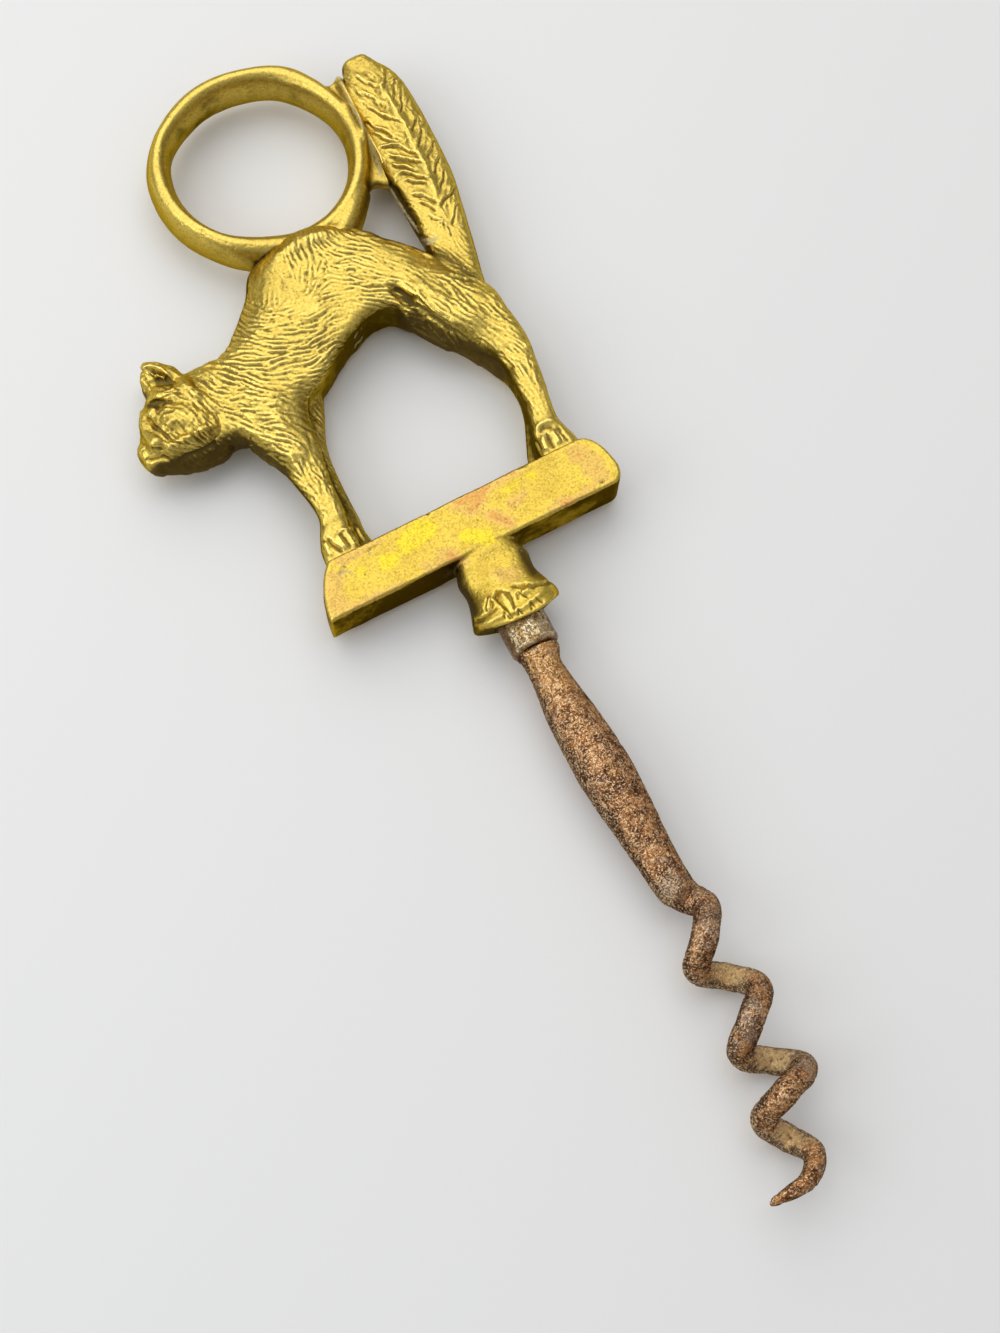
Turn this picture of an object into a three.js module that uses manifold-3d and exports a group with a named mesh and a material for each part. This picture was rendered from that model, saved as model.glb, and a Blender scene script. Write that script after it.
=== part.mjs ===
// A cast brass corkscrew with a cat for its handle, in millimetres, lying on its side.
// +Z is up from the table, +Y runs from the worm's point to the finger ring, and +X runs along
// the plinth from the cat's head to its tail. The origin is on the worm's line, on the plinth's
// flat back.
// It has three pieces: the brass casting, the steel collar and the steel worm with its shank.

import * as THREE from 'three';
import { mergeVertices } from 'three/addons/utils/BufferGeometryUtils.js';
import Module from 'manifold-3d';

const wasm = await Module();
wasm.setup();

// Gaps and cuts
const clearance = 0.3; // between two pieces that touch
const overrun = 1; // that a cutter runs past what it cuts
const weld = 0.0001; // points nearer than this are one point

// Plinth: the bar that the cat stands on, a little taller at the tail's end
const plinth = {
  overhang: 2.6, // how far it runs past the paws at each end
  height: 7.6,
  depth: 6.4,
  edge: 0.4, // the rounding of its long edges
};
// Its outline, counterclockwise from the lower corner under the head, in shares of its length from
// its middle, and of its height
const plinth_outline_shares = {
  head_foot: [-0.503, -0.52],
  tail_foot: [0.453, -0.42],
  tail_foot_corner: [0.491, -0.41],
  tail_end: [0.495, -0.12],
  tail_shoulder_corner: [0.483, 0.58],
  tail_shoulder: [0.418, 0.595],
  head_shoulder: [-0.428, 0.475],
  head_end_corner: [-0.496, 0.14],
};

// Boss: the oval socket under the plinth that holds the tang, with a flange round the collar's seat
const boss = {
  side_wall: 2.4, // the flange's wall beside the collar's seat
  face_wall: 0.9, // and its wall in front of that seat and behind it
  length: 9.7,
  lip: 1.2, // how far the middle of the flange hangs below its two sides
  lean: 14, // in degrees, which drops the flange's front edge below its back edge
};
// Its rings from the plinth down: share of length, share of half the flange's width, and of its depth
const boss_ring_shares = [
  [-0.1, 0.9, 0.7],
  [0, 0.88, 0.73],
  [0.08, 0.84, 0.72],
  [0.2, 0.8, 0.7],
  [0.38, 0.79, 0.71],
  [0.52, 0.83, 0.77],
  [0.65, 0.9, 0.87],
  [0.75, 0.96, 0.96],
  [0.83, 1, 1],
  [1.25, 1, 1],
];
const boss_roundness_share = 0.74; // of a ring's corners: 1 is an oval and 0 would be a rectangle

// Finger ring: an oval band, deeper than it is thick, that stands on the cat's back
const ring = {
  bore: 23.8,
  band: 3.2,
  depth: 6.5,
};
// Where the ring's foot meets the cat: share of the cat's length from the worm's line, and of its height
const ring_seat_shares = [-0.022, 0.906];

// Cat: how long it is from nose to hock, how high its back stands, and how thick it is
const cat = {
  length: 53,
  height: 46,
  depth: 8.4,
};
// Each station of a limb is a share of the cat's length from the worm's line, a share of its height
// above the plinth, half its width as a share of the height, then its side and half depth as shares
// of the cat's depth
const torso_shares = [
  [-0.455, 0.575, 0.125, 0, 0.38],
  [-0.38, 0.578, 0.133, 0, 0.42],
  [-0.302, 0.592, 0.138, 0, 0.46],
  [-0.217, 0.627, 0.165, 0, 0.485],
  [-0.118, 0.716, 0.181, 0, 0.5],
  [-0.036, 0.787, 0.2, 0, 0.5],
  [0.032, 0.785, 0.178, 0, 0.5],
  [0.093, 0.737, 0.124, 0, 0.5],
  [0.166, 0.671, 0.122, 0, 0.49],
  [0.228, 0.583, 0.117, 0, 0.465],
  [0.268, 0.495, 0.095, 0, 0.41],
];
const head_shares = [
  [-0.392, 0.585, 0.12, 0, 0.38],
  [-0.447, 0.583, 0.137, 0, 0.44],
  [-0.497, 0.563, 0.143, 0, 0.45],
  [-0.539, 0.541, 0.123, 0, 0.42],
  [-0.576, 0.523, 0.092, 0, 0.35],
  [-0.603, 0.513, 0.06, 0, 0.25],
];
const near_ear_shares = [
  [-0.483, 0.665, 0.058, 0.2, 0.14],
  [-0.495, 0.713, 0.048, 0.22, 0.12],
  [-0.514, 0.757, 0.026, 0.23, 0.085],
  [-0.525, 0.778, 0.01, 0.23, 0.05],
];
const far_ear_shares = [
  [-0.503, 0.675, 0.058, -0.2, 0.14],
  [-0.515, 0.73, 0.044, -0.22, 0.12],
  [-0.525, 0.775, 0.026, -0.23, 0.085],
  [-0.529, 0.8, 0.01, -0.23, 0.05],
];
const foreleg_shares = [
  [-0.262, 0.635, 0.06, 0.1, 0.2],
  [-0.287, 0.549, 0.113, 0.2, 0.24],
  [-0.301, 0.44, 0.1, 0.214, 0.24],
  [-0.299, 0.332, 0.059, 0.214, 0.215],
  [-0.294, 0.251, 0.044, 0.205, 0.19],
  [-0.289, 0.168, 0.035, 0.2, 0.18],
  [-0.29, 0.114, 0.036, 0.19, 0.175],
  [-0.299, 0.071, 0.044, 0.175, 0.175],
  [-0.304, 0.032, 0.055, 0.17, 0.175],
  [-0.306, -0.03, 0.059, 0.17, 0.175],
];
const foreleg_step_share = 0.038; // how far the far foreleg stands behind the near one
const near_hind_leg_shares = [
  [0.212, 0.63, 0.055, 0.1, 0.22],
  [0.253, 0.549, 0.1, 0.2, 0.26],
  [0.286, 0.451, 0.077, 0.215, 0.25],
  [0.305, 0.375, 0.059, 0.215, 0.22],
  [0.308, 0.299, 0.045, 0.205, 0.195],
  [0.3, 0.223, 0.042, 0.2, 0.18],
  [0.292, 0.153, 0.037, 0.19, 0.175],
  [0.285, 0.114, 0.041, 0.185, 0.175],
  [0.283, 0.071, 0.052, 0.175, 0.175],
  [0.285, 0.032, 0.06, 0.17, 0.175],
  [0.287, -0.03, 0.062, 0.17, 0.175],
];
const far_hind_leg_shares = [
  [0.195, 0.63, 0.065, -0.1, 0.22],
  [0.226, 0.549, 0.113, -0.2, 0.26],
  [0.261, 0.451, 0.065, -0.215, 0.25],
  [0.289, 0.375, 0.052, -0.215, 0.22],
  [0.305, 0.299, 0.043, -0.205, 0.195],
  [0.304, 0.223, 0.039, -0.2, 0.18],
  [0.29, 0.153, 0.041, -0.19, 0.175],
  [0.278, 0.114, 0.045, -0.185, 0.175],
  [0.27, 0.071, 0.055, -0.175, 0.175],
  [0.265, 0.032, 0.064, -0.17, 0.175],
  [0.265, -0.03, 0.066, -0.17, 0.175],
];
const tail_shares = [
  [0.285, 0.62, 0.08, 0, 0.3],
  [0.303, 0.7, 0.064, 0, 0.3],
  [0.315, 0.79, 0.072, 0, 0.31],
  [0.321, 0.875, 0.083, 0, 0.33],
  [0.331, 0.96, 0.091, 0, 0.34],
  [0.338, 1.08, 0.092, 0, 0.34],
  [0.344, 1.21, 0.091, 0, 0.33],
  [0.345, 1.34, 0.082, 0, 0.3],
  [0.344, 1.43, 0.062, 0, 0.25],
];
// The thickened foot of the ring on the cat's rump
const ring_foot_shares = [
  [0.06, 0.905, 0.045, 0, 0.36],
  [0.115, 0.963, 0.043, 0, 0.37],
  [0.17, 1.03, 0.036, 0, 0.36],
];
// The ear's hollow: a ball, as a share of the ear's width, and where it bites
const ear_hollow = {
  width_share: 0.042,
  depth_share: 0.13,
  along_shares: [-0.499, -0.524],
  up_share: 0.728,
  side_share: 0.37,
};
const limb_sides = 18;
const limb_steps = 2; // rings between one station and the next
const cap_share = 0.55; // how far a limb's end bulges, as a share of its half width
const cap_turn_shares = [0.77, 0.4]; // where the rings of a rounded end lie, as shares of a quarter turn

// Brazed seam that joins the ring to the tail. Its corners are shares of the way from the ring's
// middle across to the tail's, and shares of the ring's outer radius up from its middle.
const seam = {
  depth: 3.2,
};
const seam_corner_shares = [
  [0.6, -0.6],
  [0.83, -0.57],
  [0.89, 0.52],
  [0.84, 0.6],
  [0.74, 0.6],
  [0.58, 0.5],
];

// Collar: the steel ferrule that the shank comes out of
const collar = {
  width: 6.4,
  length: 5.2,
  shoulder: 0.75, // height of the rounding at its foot
  shoulder_step: 0.45,
  seat: 1.2, // how deep it sits in the flange
};

// Worm: tang, neck, spindle-shaped shank and helix, one steel forging
const worm = {
  tang: 3.8,
  tang_reach: 1.5, // how far the tang goes past the plinth's middle
  shank: 6.8, // at its thickest
  shank_length: 34,
  wire: 3.25,
  point: 0.7,
  helix: 5.9, // across its middle line
  helix_length: 37.5,
};
// The shank's rings from the neck down: share of shank_length, share of the thickest radius, and
// how far use has bent it aside, as a share of that radius
const shank_shares = [
  [0.005, 0.69, 0],
  [0.06, 0.72, -0.05],
  [0.16, 0.82, -0.07],
  [0.28, 0.92, -0.06],
  [0.4, 0.99, -0.02],
  [0.52, 1.03, 0.01],
  [0.64, 0.96, 0.04],
  [0.76, 0.85, 0.07],
  [0.87, 0.76, 0.1],
  [0.95, 0.72, 0.13],
];
// Where the middle line of the helix passes at each quarter turn: share of half its width across,
// share of half its width up, share of helix_length down. A hand has drawn the last turn out.
const quarter_turn_shares = [
  [0.2, -0.1, 0],
  [0.58, -0.3, 0.05],
  [0.9, 0.15, 0.099],
  [0.13, 0.88, 0.192],
  [-0.64, 0.05, 0.267],
  [0.45, -0.98, 0.318],
  [1.22, 0, 0.403],
  [0.05, 1, 0.49],
  [-0.73, 0, 0.56],
  [0.38, -1, 0.617],
  [1.24, 0, 0.685],
  [-0.15, 1.05, 0.73],
  [-1.2, 0, 0.771],
  [-0.48, -0.95, 0.853],
  [-0.12, 0, 0.928],
  [-0.88, 0.6, 0.987],
  [-2.55, 0.3, 0.998],
];
const worm_sides = 12;
const worm_steps = 6; // rings in each quarter turn
const worm_taper_share = 0.18; // the last share of the helix, where the wire runs out to the point
const worm_blend_share = 0.07; // the first share of it, where the shank narrows to the wire

const lathe_sides = 48;
const shoulder_steps = 3; // rings in the rounding at the collar's foot
const ring_steps = 60;
const band_sides = 14;

// Where things are, worked out from the sizes above. The casting's middle plane is at zero here.
const quarter_turn = Math.PI / 2;
const plinth_top = plinth.height / 2;
const paw_end = ([along, , width], side) => along * cat.length + side * width * cat.height;
const plinth_head_end = paw_end(foreleg_shares.at(-1), -1) - plinth.overhang;
const plinth_tail_end = paw_end(near_hind_leg_shares.at(-1), 1) + plinth.overhang;
const plinth_length = plinth_tail_end - plinth_head_end;
const plinth_middle = (plinth_tail_end + plinth_head_end) / 2;
const boss_top = -plinth.height / 2;
const boss_foot = boss_top - boss.length; // the flange's lowest point
const seat_floor = boss_foot + collar.seat;
const collar_top = seat_floor - clearance;
const collar_foot = collar_top - collar.length;
const tang_radius = worm.tang / 2;
const bore_radius = tang_radius + clearance;
const seat_radius = collar.width / 2 + clearance;
const flange_width = 2 * (seat_radius + boss.side_wall);
const flange_depth = 2 * (seat_radius + boss.face_wall);
const ring_radius = ring.bore / 2 + ring.band;
const ring_middle = {
  along: ring_seat_shares[0] * cat.length,
  up: plinth_top + ring_seat_shares[1] * cat.height + ring_radius,
};
const tail_middle = tail_shares[Math.floor(tail_shares.length / 2)][0] * cat.length;
const neck_top = collar_foot - clearance;
const shank_foot = neck_top - worm.shank_length;

// Turns a closed three.js geometry into a solid that can be joined and cut
function solid(geometry) {
  const bare = geometry.clone();
  bare.deleteAttribute('normal');
  bare.deleteAttribute('uv');
  const merged = mergeVertices(bare, weld);
  return new wasm.Manifold(new wasm.Mesh({
    numProp: 3,
    vertProperties: new Float32Array(merged.attributes.position.array),
    triVerts: new Uint32Array(merged.index.array),
  }));
}

// A named mesh of a finished solid
function piece(name, body, material) {
  const { vertProperties, triVerts } = body.getMesh();
  const geometry = new THREE.BufferGeometry();
  geometry.setAttribute('position', new THREE.BufferAttribute(vertProperties, 3));
  geometry.setIndex(new THREE.BufferAttribute(triVerts, 1));
  geometry.computeVertexNormals();
  const mesh = new THREE.Mesh(geometry, material);
  mesh.name = name;
  return mesh;
}

// Joins rings of points, one after the other, into a closed skin with a fan over each end
function skin(rings) {
  const sides = rings[0].length;
  const points = rings.flat();
  const middle = (loop) => loop.reduce((sum, point) => sum.add(point), new THREE.Vector3())
    .divideScalar(sides);
  const first = points.push(middle(rings[0])) - 1;
  const last = points.push(middle(rings.at(-1))) - 1;
  const end = (rings.length - 1) * sides;
  const faces = [];
  for (let side = 0; side < sides; side += 1) {
    const next = (side + 1) % sides;
    for (let row = 0; row < end; row += sides) {
      faces.push(row + side, row + next, row + next + sides);
      faces.push(row + side, row + next + sides, row + side + sides);
    }
    faces.push(first, next, side);
    faces.push(last, end + side, end + next);
  }
  const geometry = new THREE.BufferGeometry();
  const numbers = points.flatMap((point) => point.toArray());
  geometry.setAttribute('position', new THREE.Float32BufferAttribute(numbers, 3));
  geometry.setIndex(faces);
  return geometry;
}

// An oval ring of points about a centre, with its half sizes along two directions. A roundness
// under 1 squares its corners.
function oval(centre, across, up, half_width, half_depth, sides, roundness = 1) {
  const squared = (value) => Math.sign(value) * Math.abs(value) ** roundness;
  return Array.from({ length: sides }, (_, side) => {
    const turn = (2 * Math.PI * side) / sides;
    return centre.clone()
      .addScaledVector(across, half_width * squared(Math.cos(turn)))
      .addScaledVector(up, half_depth * squared(Math.sin(turn)));
  });
}

const upward = new THREE.Vector3(0, 0, 1);

// A limb of the cat: ovals square to a smooth middle line through its stations, with rounded ends
function limb(stations, shift_share = 0) {
  const centres = stations.map(([along, up, , side]) => new THREE.Vector3(
    (along + shift_share) * cat.length,
    plinth_top + up * cat.height,
    side * cat.depth,
  ));
  const halves = stations.map(([, , width, , depth]) => new THREE.Vector3(
    width * cat.height,
    depth * cat.depth,
    0,
  ));
  const line = new THREE.CatmullRomCurve3(centres);
  const size = new THREE.CatmullRomCurve3(halves);
  const count = (stations.length - 1) * limb_steps;
  const rings = [];
  const add = (share, shrink, bulge) => {
    const forward = line.getTangent(share).setZ(0).normalize();
    const across = new THREE.Vector3().crossVectors(upward, forward);
    const half = size.getPoint(share);
    const centre = line.getPoint(share).addScaledVector(forward, bulge * half.x * cap_share);
    rings.push(oval(centre, across, upward, half.x * shrink, half.y * shrink, limb_sides));
  };
  const cap_turns = cap_turn_shares.map((share) => share * quarter_turn);
  cap_turns.forEach((turn) => add(0, Math.cos(turn), -Math.sin(turn)));
  for (let step = 0; step <= count; step += 1) {
    add(step / count, 1, 0);
  }
  cap_turns.reverse().forEach((turn) => add(1, Math.cos(turn), Math.sin(turn)));
  return solid(skin(rings));
}

// The other leg or ear of a pair, on the far side
function far_side(stations) {
  return stations.map(([along, up, width, side, depth]) => [along, up, width, -side, depth]);
}

// The hollow in an ear: a squashed ball on the ear's outer face
function ear_hollow_cut(along_share, side_sign) {
  const ball = new THREE.SphereGeometry(1, 14, 10);
  const radius = ear_hollow.width_share * cat.height;
  ball.scale(radius, radius, ear_hollow.depth_share * cat.depth);
  ball.translate(
    along_share * cat.length,
    plinth_top + ear_hollow.up_share * cat.height,
    side_sign * ear_hollow.side_share * cat.depth,
  );
  return solid(ball);
}

// The plinth: its outline, extruded through its depth with a small rounded edge
function plinth_bar() {
  const at = ([along, up]) => [plinth_middle + along * plinth_length, up * plinth.height];
  const to = plinth_outline_shares;
  const outline = new THREE.Shape();
  outline.moveTo(...at(to.head_foot));
  outline.lineTo(...at(to.tail_foot));
  outline.quadraticCurveTo(...at(to.tail_foot_corner), ...at(to.tail_end));
  outline.quadraticCurveTo(...at(to.tail_shoulder_corner), ...at(to.tail_shoulder));
  outline.lineTo(...at(to.head_shoulder));
  outline.quadraticCurveTo(...at(to.head_end_corner), ...at(to.head_foot));
  const bar = new THREE.ExtrudeGeometry(outline, {
    depth: plinth.depth - 2 * plinth.edge,
    bevelThickness: plinth.edge,
    bevelSize: plinth.edge,
    bevelOffset: -plinth.edge,
    bevelSegments: 3,
    curveSegments: 8,
  });
  bar.translate(0, 0, plinth.edge - plinth.depth / 2);
  return solid(bar);
}

// The boss: oval rings from the plinth down to the flange, with its foot cut to a hanging curve
function boss_body() {
  const downward = new THREE.Vector3(0, -1, 0);
  const across = new THREE.Vector3().crossVectors(upward, downward);
  const rings = boss_ring_shares.map(([down, width, depth]) => oval(
    new THREE.Vector3(0, boss_top - down * boss.length, 0),
    across,
    upward,
    (width * flange_width) / 2,
    (depth * flange_depth) / 2,
    lathe_sides,
    boss_roundness_share,
  ));
  const side = boss_ring_shares[0][1] * (flange_width / 2) + overrun;
  const profile = new THREE.Shape();
  profile.moveTo(-side, plinth_top + overrun);
  profile.lineTo(-side, boss_foot + boss.lip);
  profile.quadraticCurveTo(0, boss_foot - boss.lip, side, boss_foot + boss.lip);
  profile.lineTo(side, plinth_top + overrun);
  const slab = new THREE.ExtrudeGeometry(profile, {
    depth: 2 * flange_depth,
    bevelEnabled: false,
    curveSegments: 16,
  });
  slab.translate(0, -boss_foot, -flange_depth);
  slab.rotateX(THREE.MathUtils.degToRad(boss.lean));
  slab.translate(0, boss_foot, 0);
  return solid(skin(rings)).intersect(solid(slab));
}

// A solid turned about the worm's line from a profile of [distance from the line, place along it]
function turned(profile) {
  return solid(new THREE.LatheGeometry(
    profile.map(([radius, along]) => new THREE.Vector2(radius, along)),
    lathe_sides,
  ));
}

// The finger ring: the band's oval section carried round the bore
function finger_ring() {
  const radius = ring_radius - ring.band / 2;
  const section = Array.from({ length: band_sides + 1 }, (_, side) => {
    const turn = (2 * Math.PI * (side % band_sides)) / band_sides;
    return new THREE.Vector2(
      radius + (ring.band / 2) * Math.cos(turn),
      (ring.depth / 2) * Math.sin(turn),
    );
  });
  const band = new THREE.LatheGeometry(section, ring_steps);
  band.rotateX(quarter_turn);
  band.translate(ring_middle.along, ring_middle.up, 0);
  return solid(band);
}

// The brazed seam between the ring and the tail
function brazed_seam() {
  const corners = seam_corner_shares.map(([along, up]) => new THREE.Vector2(
    ring_middle.along + along * (tail_middle - ring_middle.along),
    ring_middle.up + up * ring_radius,
  ));
  const plate = new THREE.ExtrudeGeometry(new THREE.Shape(corners), {
    depth: seam.depth,
    bevelEnabled: false,
  });
  plate.translate(0, 0, -seam.depth / 2);
  return solid(plate);
}

// The cutter of the finger hole
function finger_hole() {
  const radius = ring.bore / 2;
  const hole = new THREE.CylinderGeometry(radius, radius, ring.depth + 2 * overrun, ring_steps);
  hole.rotateX(quarter_turn);
  hole.translate(ring_middle.along, ring_middle.up, 0);
  return solid(hole);
}

// The brass casting: the cat, its ring, plinth and boss in one, with the holes for tang and collar
function cat_handle() {
  const near_hollow = ear_hollow_cut(ear_hollow.along_shares[0], 1);
  const far_hollow = ear_hollow_cut(ear_hollow.along_shares[1], -1);
  const tang_hole = turned([
    [0, worm.tang_reach + clearance],
    [bore_radius, worm.tang_reach + clearance],
    [bore_radius, seat_floor],
    [seat_radius, seat_floor],
    [seat_radius, boss_foot - boss.length / 2],
    [0, boss_foot - boss.length / 2],
  ].reverse());
  return limb(torso_shares)
    .add(limb(head_shares))
    .add(limb(near_ear_shares).subtract(near_hollow))
    .add(limb(far_ear_shares).subtract(far_hollow))
    .add(limb(foreleg_shares))
    .add(limb(far_side(foreleg_shares), foreleg_step_share))
    .add(limb(near_hind_leg_shares))
    .add(limb(far_hind_leg_shares))
    .add(limb(tail_shares))
    .add(finger_ring())
    .add(limb(ring_foot_shares).add(brazed_seam()).subtract(finger_hole()))
    .add(plinth_bar())
    .add(boss_body())
    .subtract(tang_hole);
}

// The collar: a bored ferrule with a rounded shoulder at its foot
function shank_collar() {
  const radius = collar.width / 2;
  const shoulder_points = Array.from({ length: shoulder_steps + 1 }, (_, step) => {
    const turn = (step / shoulder_steps) * quarter_turn;
    return [
      radius - collar.shoulder_step * (1 - Math.cos(turn)),
      collar_foot + collar.shoulder * (1 - Math.sin(turn)),
    ];
  });
  return turned([
    [bore_radius, collar_top],
    [bore_radius, collar_foot],
    ...shoulder_points.reverse(),
    [radius, collar_top],
    [bore_radius, collar_top],
  ]);
}

// Circles square to a line of centres, each turned as little as may be from the one before it
function pipe(centres, radii) {
  let across = new THREE.Vector3(1, 0, 0);
  const rings = centres.map((centre, at) => {
    const before = centres[Math.max(at - 1, 0)];
    const after = centres[Math.min(at + 1, centres.length - 1)];
    const forward = after.clone().sub(before).normalize();
    const up = new THREE.Vector3().crossVectors(forward, across).normalize();
    across = new THREE.Vector3().crossVectors(up, forward);
    return oval(centre, across, up, radii[at], radii[at], worm_sides);
  });
  return solid(skin(rings));
}

// The worm: a straight tang and shank that run on into the helix, whose wire tapers to the point
function screw_worm() {
  const centres = [];
  const radii = [];
  const add = (centre, radius) => {
    centres.push(centre);
    radii.push(radius);
  };
  add(new THREE.Vector3(0, worm.tang_reach, 0), tang_radius);
  add(new THREE.Vector3(0, neck_top, 0), tang_radius);
  shank_shares.forEach(([down, share, aside]) => {
    const half = worm.shank / 2;
    add(new THREE.Vector3(aside * half, neck_top - down * worm.shank_length, 0), share * half);
  });
  const turns = quarter_turn_shares.map(([across, up, down]) => new THREE.Vector3(
    (across * worm.helix) / 2,
    shank_foot - down * worm.helix_length,
    (up * worm.helix) / 2,
  ));
  const line = new THREE.CatmullRomCurve3(turns);
  const count = (turns.length - 1) * worm_steps;
  const first_radius = (shank_shares.at(-1)[1] * worm.shank) / 2;
  for (let step = 0; step <= count; step += 1) {
    const share = step / count;
    const narrowing = Math.exp(-share / worm_blend_share);
    const taper = Math.min(1, (1 - share) / worm_taper_share);
    const wire = worm.point / 2 + ((worm.wire - worm.point) / 2) * Math.sqrt(taper);
    add(line.getPoint(share), wire + (first_radius - wire) * narrowing);
  }
  return pipe(centres, radii);
}

const brass = new THREE.MeshStandardMaterial({ color: 0xb39a3c, metalness: 0.9, roughness: 0.4 });
const steel = new THREE.MeshStandardMaterial({ color: 0x8d877a, metalness: 0.9, roughness: 0.5 });
const rusty_steel = new THREE.MeshStandardMaterial({ color: 0x7a4f33, metalness: 0.3, roughness: 0.8 });

const raised = new THREE.Group();
raised.position.z = plinth.depth / 2;
raised.add(piece('cat_handle', cat_handle(), brass));
raised.add(piece('shank_collar', shank_collar(), steel));
raised.add(piece('worm', screw_worm(), rusty_steel));

const corkscrew = new THREE.Group();
corkscrew.name = 'corkscrew';
corkscrew.add(raised);

export default corkscrew;
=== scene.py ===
import math

import bpy
import numpy as np
from mathutils import Matrix, Vector


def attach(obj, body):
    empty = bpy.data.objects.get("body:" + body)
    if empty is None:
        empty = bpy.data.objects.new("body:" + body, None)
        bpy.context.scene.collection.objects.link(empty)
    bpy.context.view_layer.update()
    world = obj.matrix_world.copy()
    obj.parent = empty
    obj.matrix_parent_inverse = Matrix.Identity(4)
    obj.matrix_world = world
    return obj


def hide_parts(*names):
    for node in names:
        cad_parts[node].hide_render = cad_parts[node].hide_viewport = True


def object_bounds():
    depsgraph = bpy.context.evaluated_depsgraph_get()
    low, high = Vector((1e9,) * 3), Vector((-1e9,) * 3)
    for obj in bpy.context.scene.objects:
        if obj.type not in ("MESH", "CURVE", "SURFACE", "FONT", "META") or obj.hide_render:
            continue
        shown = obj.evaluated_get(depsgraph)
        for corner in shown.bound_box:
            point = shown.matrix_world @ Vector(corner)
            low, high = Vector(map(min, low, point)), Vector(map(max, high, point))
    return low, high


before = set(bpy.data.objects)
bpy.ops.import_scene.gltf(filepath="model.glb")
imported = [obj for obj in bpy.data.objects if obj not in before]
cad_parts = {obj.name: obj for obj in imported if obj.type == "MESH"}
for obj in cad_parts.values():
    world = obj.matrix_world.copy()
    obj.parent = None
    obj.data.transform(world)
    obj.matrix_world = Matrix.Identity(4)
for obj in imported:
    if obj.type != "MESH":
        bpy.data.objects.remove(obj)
cad_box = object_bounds()

# A cast brass corkscrew with a cat for its handle. Shapes are worked out in millimetres in the
# part's own frame, and each mesh is put into metres as it is made.
MM = 0.001
MID = 3.2  # height of the casting's middle plane above the plinth's flat back


# Camera, light and floor

EYE = np.array([-49.9, -87.4, 238.5])  # where the camera stands, in millimetres
EYE_RIGHT, EYE_FORWARD = (0.8868, -0.4612, 0.0318), (0.1793, 0.2796, -0.9432)
SENSOR_WIDTH = 36
FOCAL_LENGTH, PICTURE_HEIGHT = 2000, 1333  # both in pixels of the whole frame


def set_camera():
    """Camera above the worm's side of the object, turned so that the worm points down and right."""
    right, forward = Vector(EYE_RIGHT).normalized(), Vector(EYE_FORWARD).normalized()
    upward = right.cross(forward).normalized()
    right = forward.cross(upward).normalized()
    place = Matrix.Identity(4)
    for row in range(3):
        place[row][0], place[row][1], place[row][2] = right[row], upward[row], -forward[row]
        place[row][3] = float(EYE[row]) * MM
    data = bpy.data.cameras.new("camera")
    data.sensor_width = SENSOR_WIDTH
    data.lens = FOCAL_LENGTH * SENSOR_WIDTH / PICTURE_HEIGHT
    data.clip_start, data.clip_end = 0.01, 10
    camera = bpy.data.objects.new("camera", data)
    camera.matrix_world = place
    bpy.context.scene.collection.objects.link(camera)
    bpy.context.scene.camera = camera


def area_light(name, place, aim, size, watts, tint):
    """A soft rectangular lamp at a place, turned towards an aim, sizes in metres."""
    data = bpy.data.lights.new(name, "AREA")
    data.shape = "RECTANGLE"
    data.size, data.size_y = size
    data.energy = watts
    data.color = tint
    lamp = bpy.data.objects.new(name, data)
    lamp.location = place
    lamp.rotation_mode = "QUATERNION"
    lamp.rotation_quaternion = (Vector(aim) - Vector(place)).to_track_quat("-Z", "Y")
    bpy.context.scene.collection.objects.link(lamp)


# Grids, sweeps and skins

def smooth_rows(rows, steps, spaced_by=3):
    """Puts steps - 1 rows between each two rows of a table, on a Catmull-Rom curve through every
    column. Its knots are spaced by the root of the distance in the first columns, so it doesn't
    overshoot: Hermite pieces with tangents (b-a)/d0 - (c-a)/(d0+d1) + (c-b)/d1."""
    rows = np.array(rows, float)
    last = len(rows) - 1
    padded = np.vstack([2 * rows[0] - rows[1], rows, 2 * rows[-1] - rows[-2]])
    gaps = np.sqrt(np.linalg.norm(np.diff(padded[:, :spaced_by], axis=0), axis=1))[:, None]
    along = np.linspace(0, last, last * steps + 1)
    at = np.minimum(along.astype(int), last - 1)
    u = (along - at)[:, None]
    a, b, c, d = (padded[at + k] for k in range(4))
    before, here, after = (gaps[at + k] for k in range(3))
    first = here * ((b - a) / before - (c - a) / (before + here) + (c - b) / here)
    second = here * ((c - b) / here - (d - b) / (here + after) + (d - c) / after)
    return (b + first * u + (3 * (c - b) - 2 * first - second) * u ** 2
            + (2 * (b - c) + first + second) * u ** 3)


def grid_faces(rows, sides):
    """Quads between neighbouring rings of a grid, the last side joined to the first."""
    row, side = np.meshgrid(np.arange(rows - 1), np.arange(sides), indexing="ij")
    after = (side + 1) % sides
    return np.stack([row * sides + side, row * sides + after,
                     (row + 1) * sides + after, (row + 1) * sides + side], -1).reshape(-1, 4)


def sweep(centres, across, upward, half_width, half_depth, sides, roundness=1.0):
    """Ovals carried along a line: centre + across a cos(t)^r + upward b sin(t)^r, where r under 1
    squares the corners. Returns points and quads, with the two ends left open."""
    turn = np.linspace(0, 2 * np.pi, sides, endpoint=False)
    cos, sin = np.cos(turn), np.sin(turn)
    cos = np.sign(cos) * np.abs(cos) ** roundness
    sin = np.sign(sin) * np.abs(sin) ** roundness
    points = (centres[:, None, :]
              + across[:, None, :] * (half_width[:, None] * cos)[..., None]
              + upward[:, None, :] * (half_depth[:, None] * sin)[..., None])
    return points.reshape(-1, 3), grid_faces(len(centres), sides)


def closed(points, quads, sides):
    """A swept skin with a flat face over each end."""
    faces = quads.tolist()
    faces.append(list(range(sides))[::-1])
    faces.append(list(range(len(points) - sides, len(points))))
    return points, faces


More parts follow.
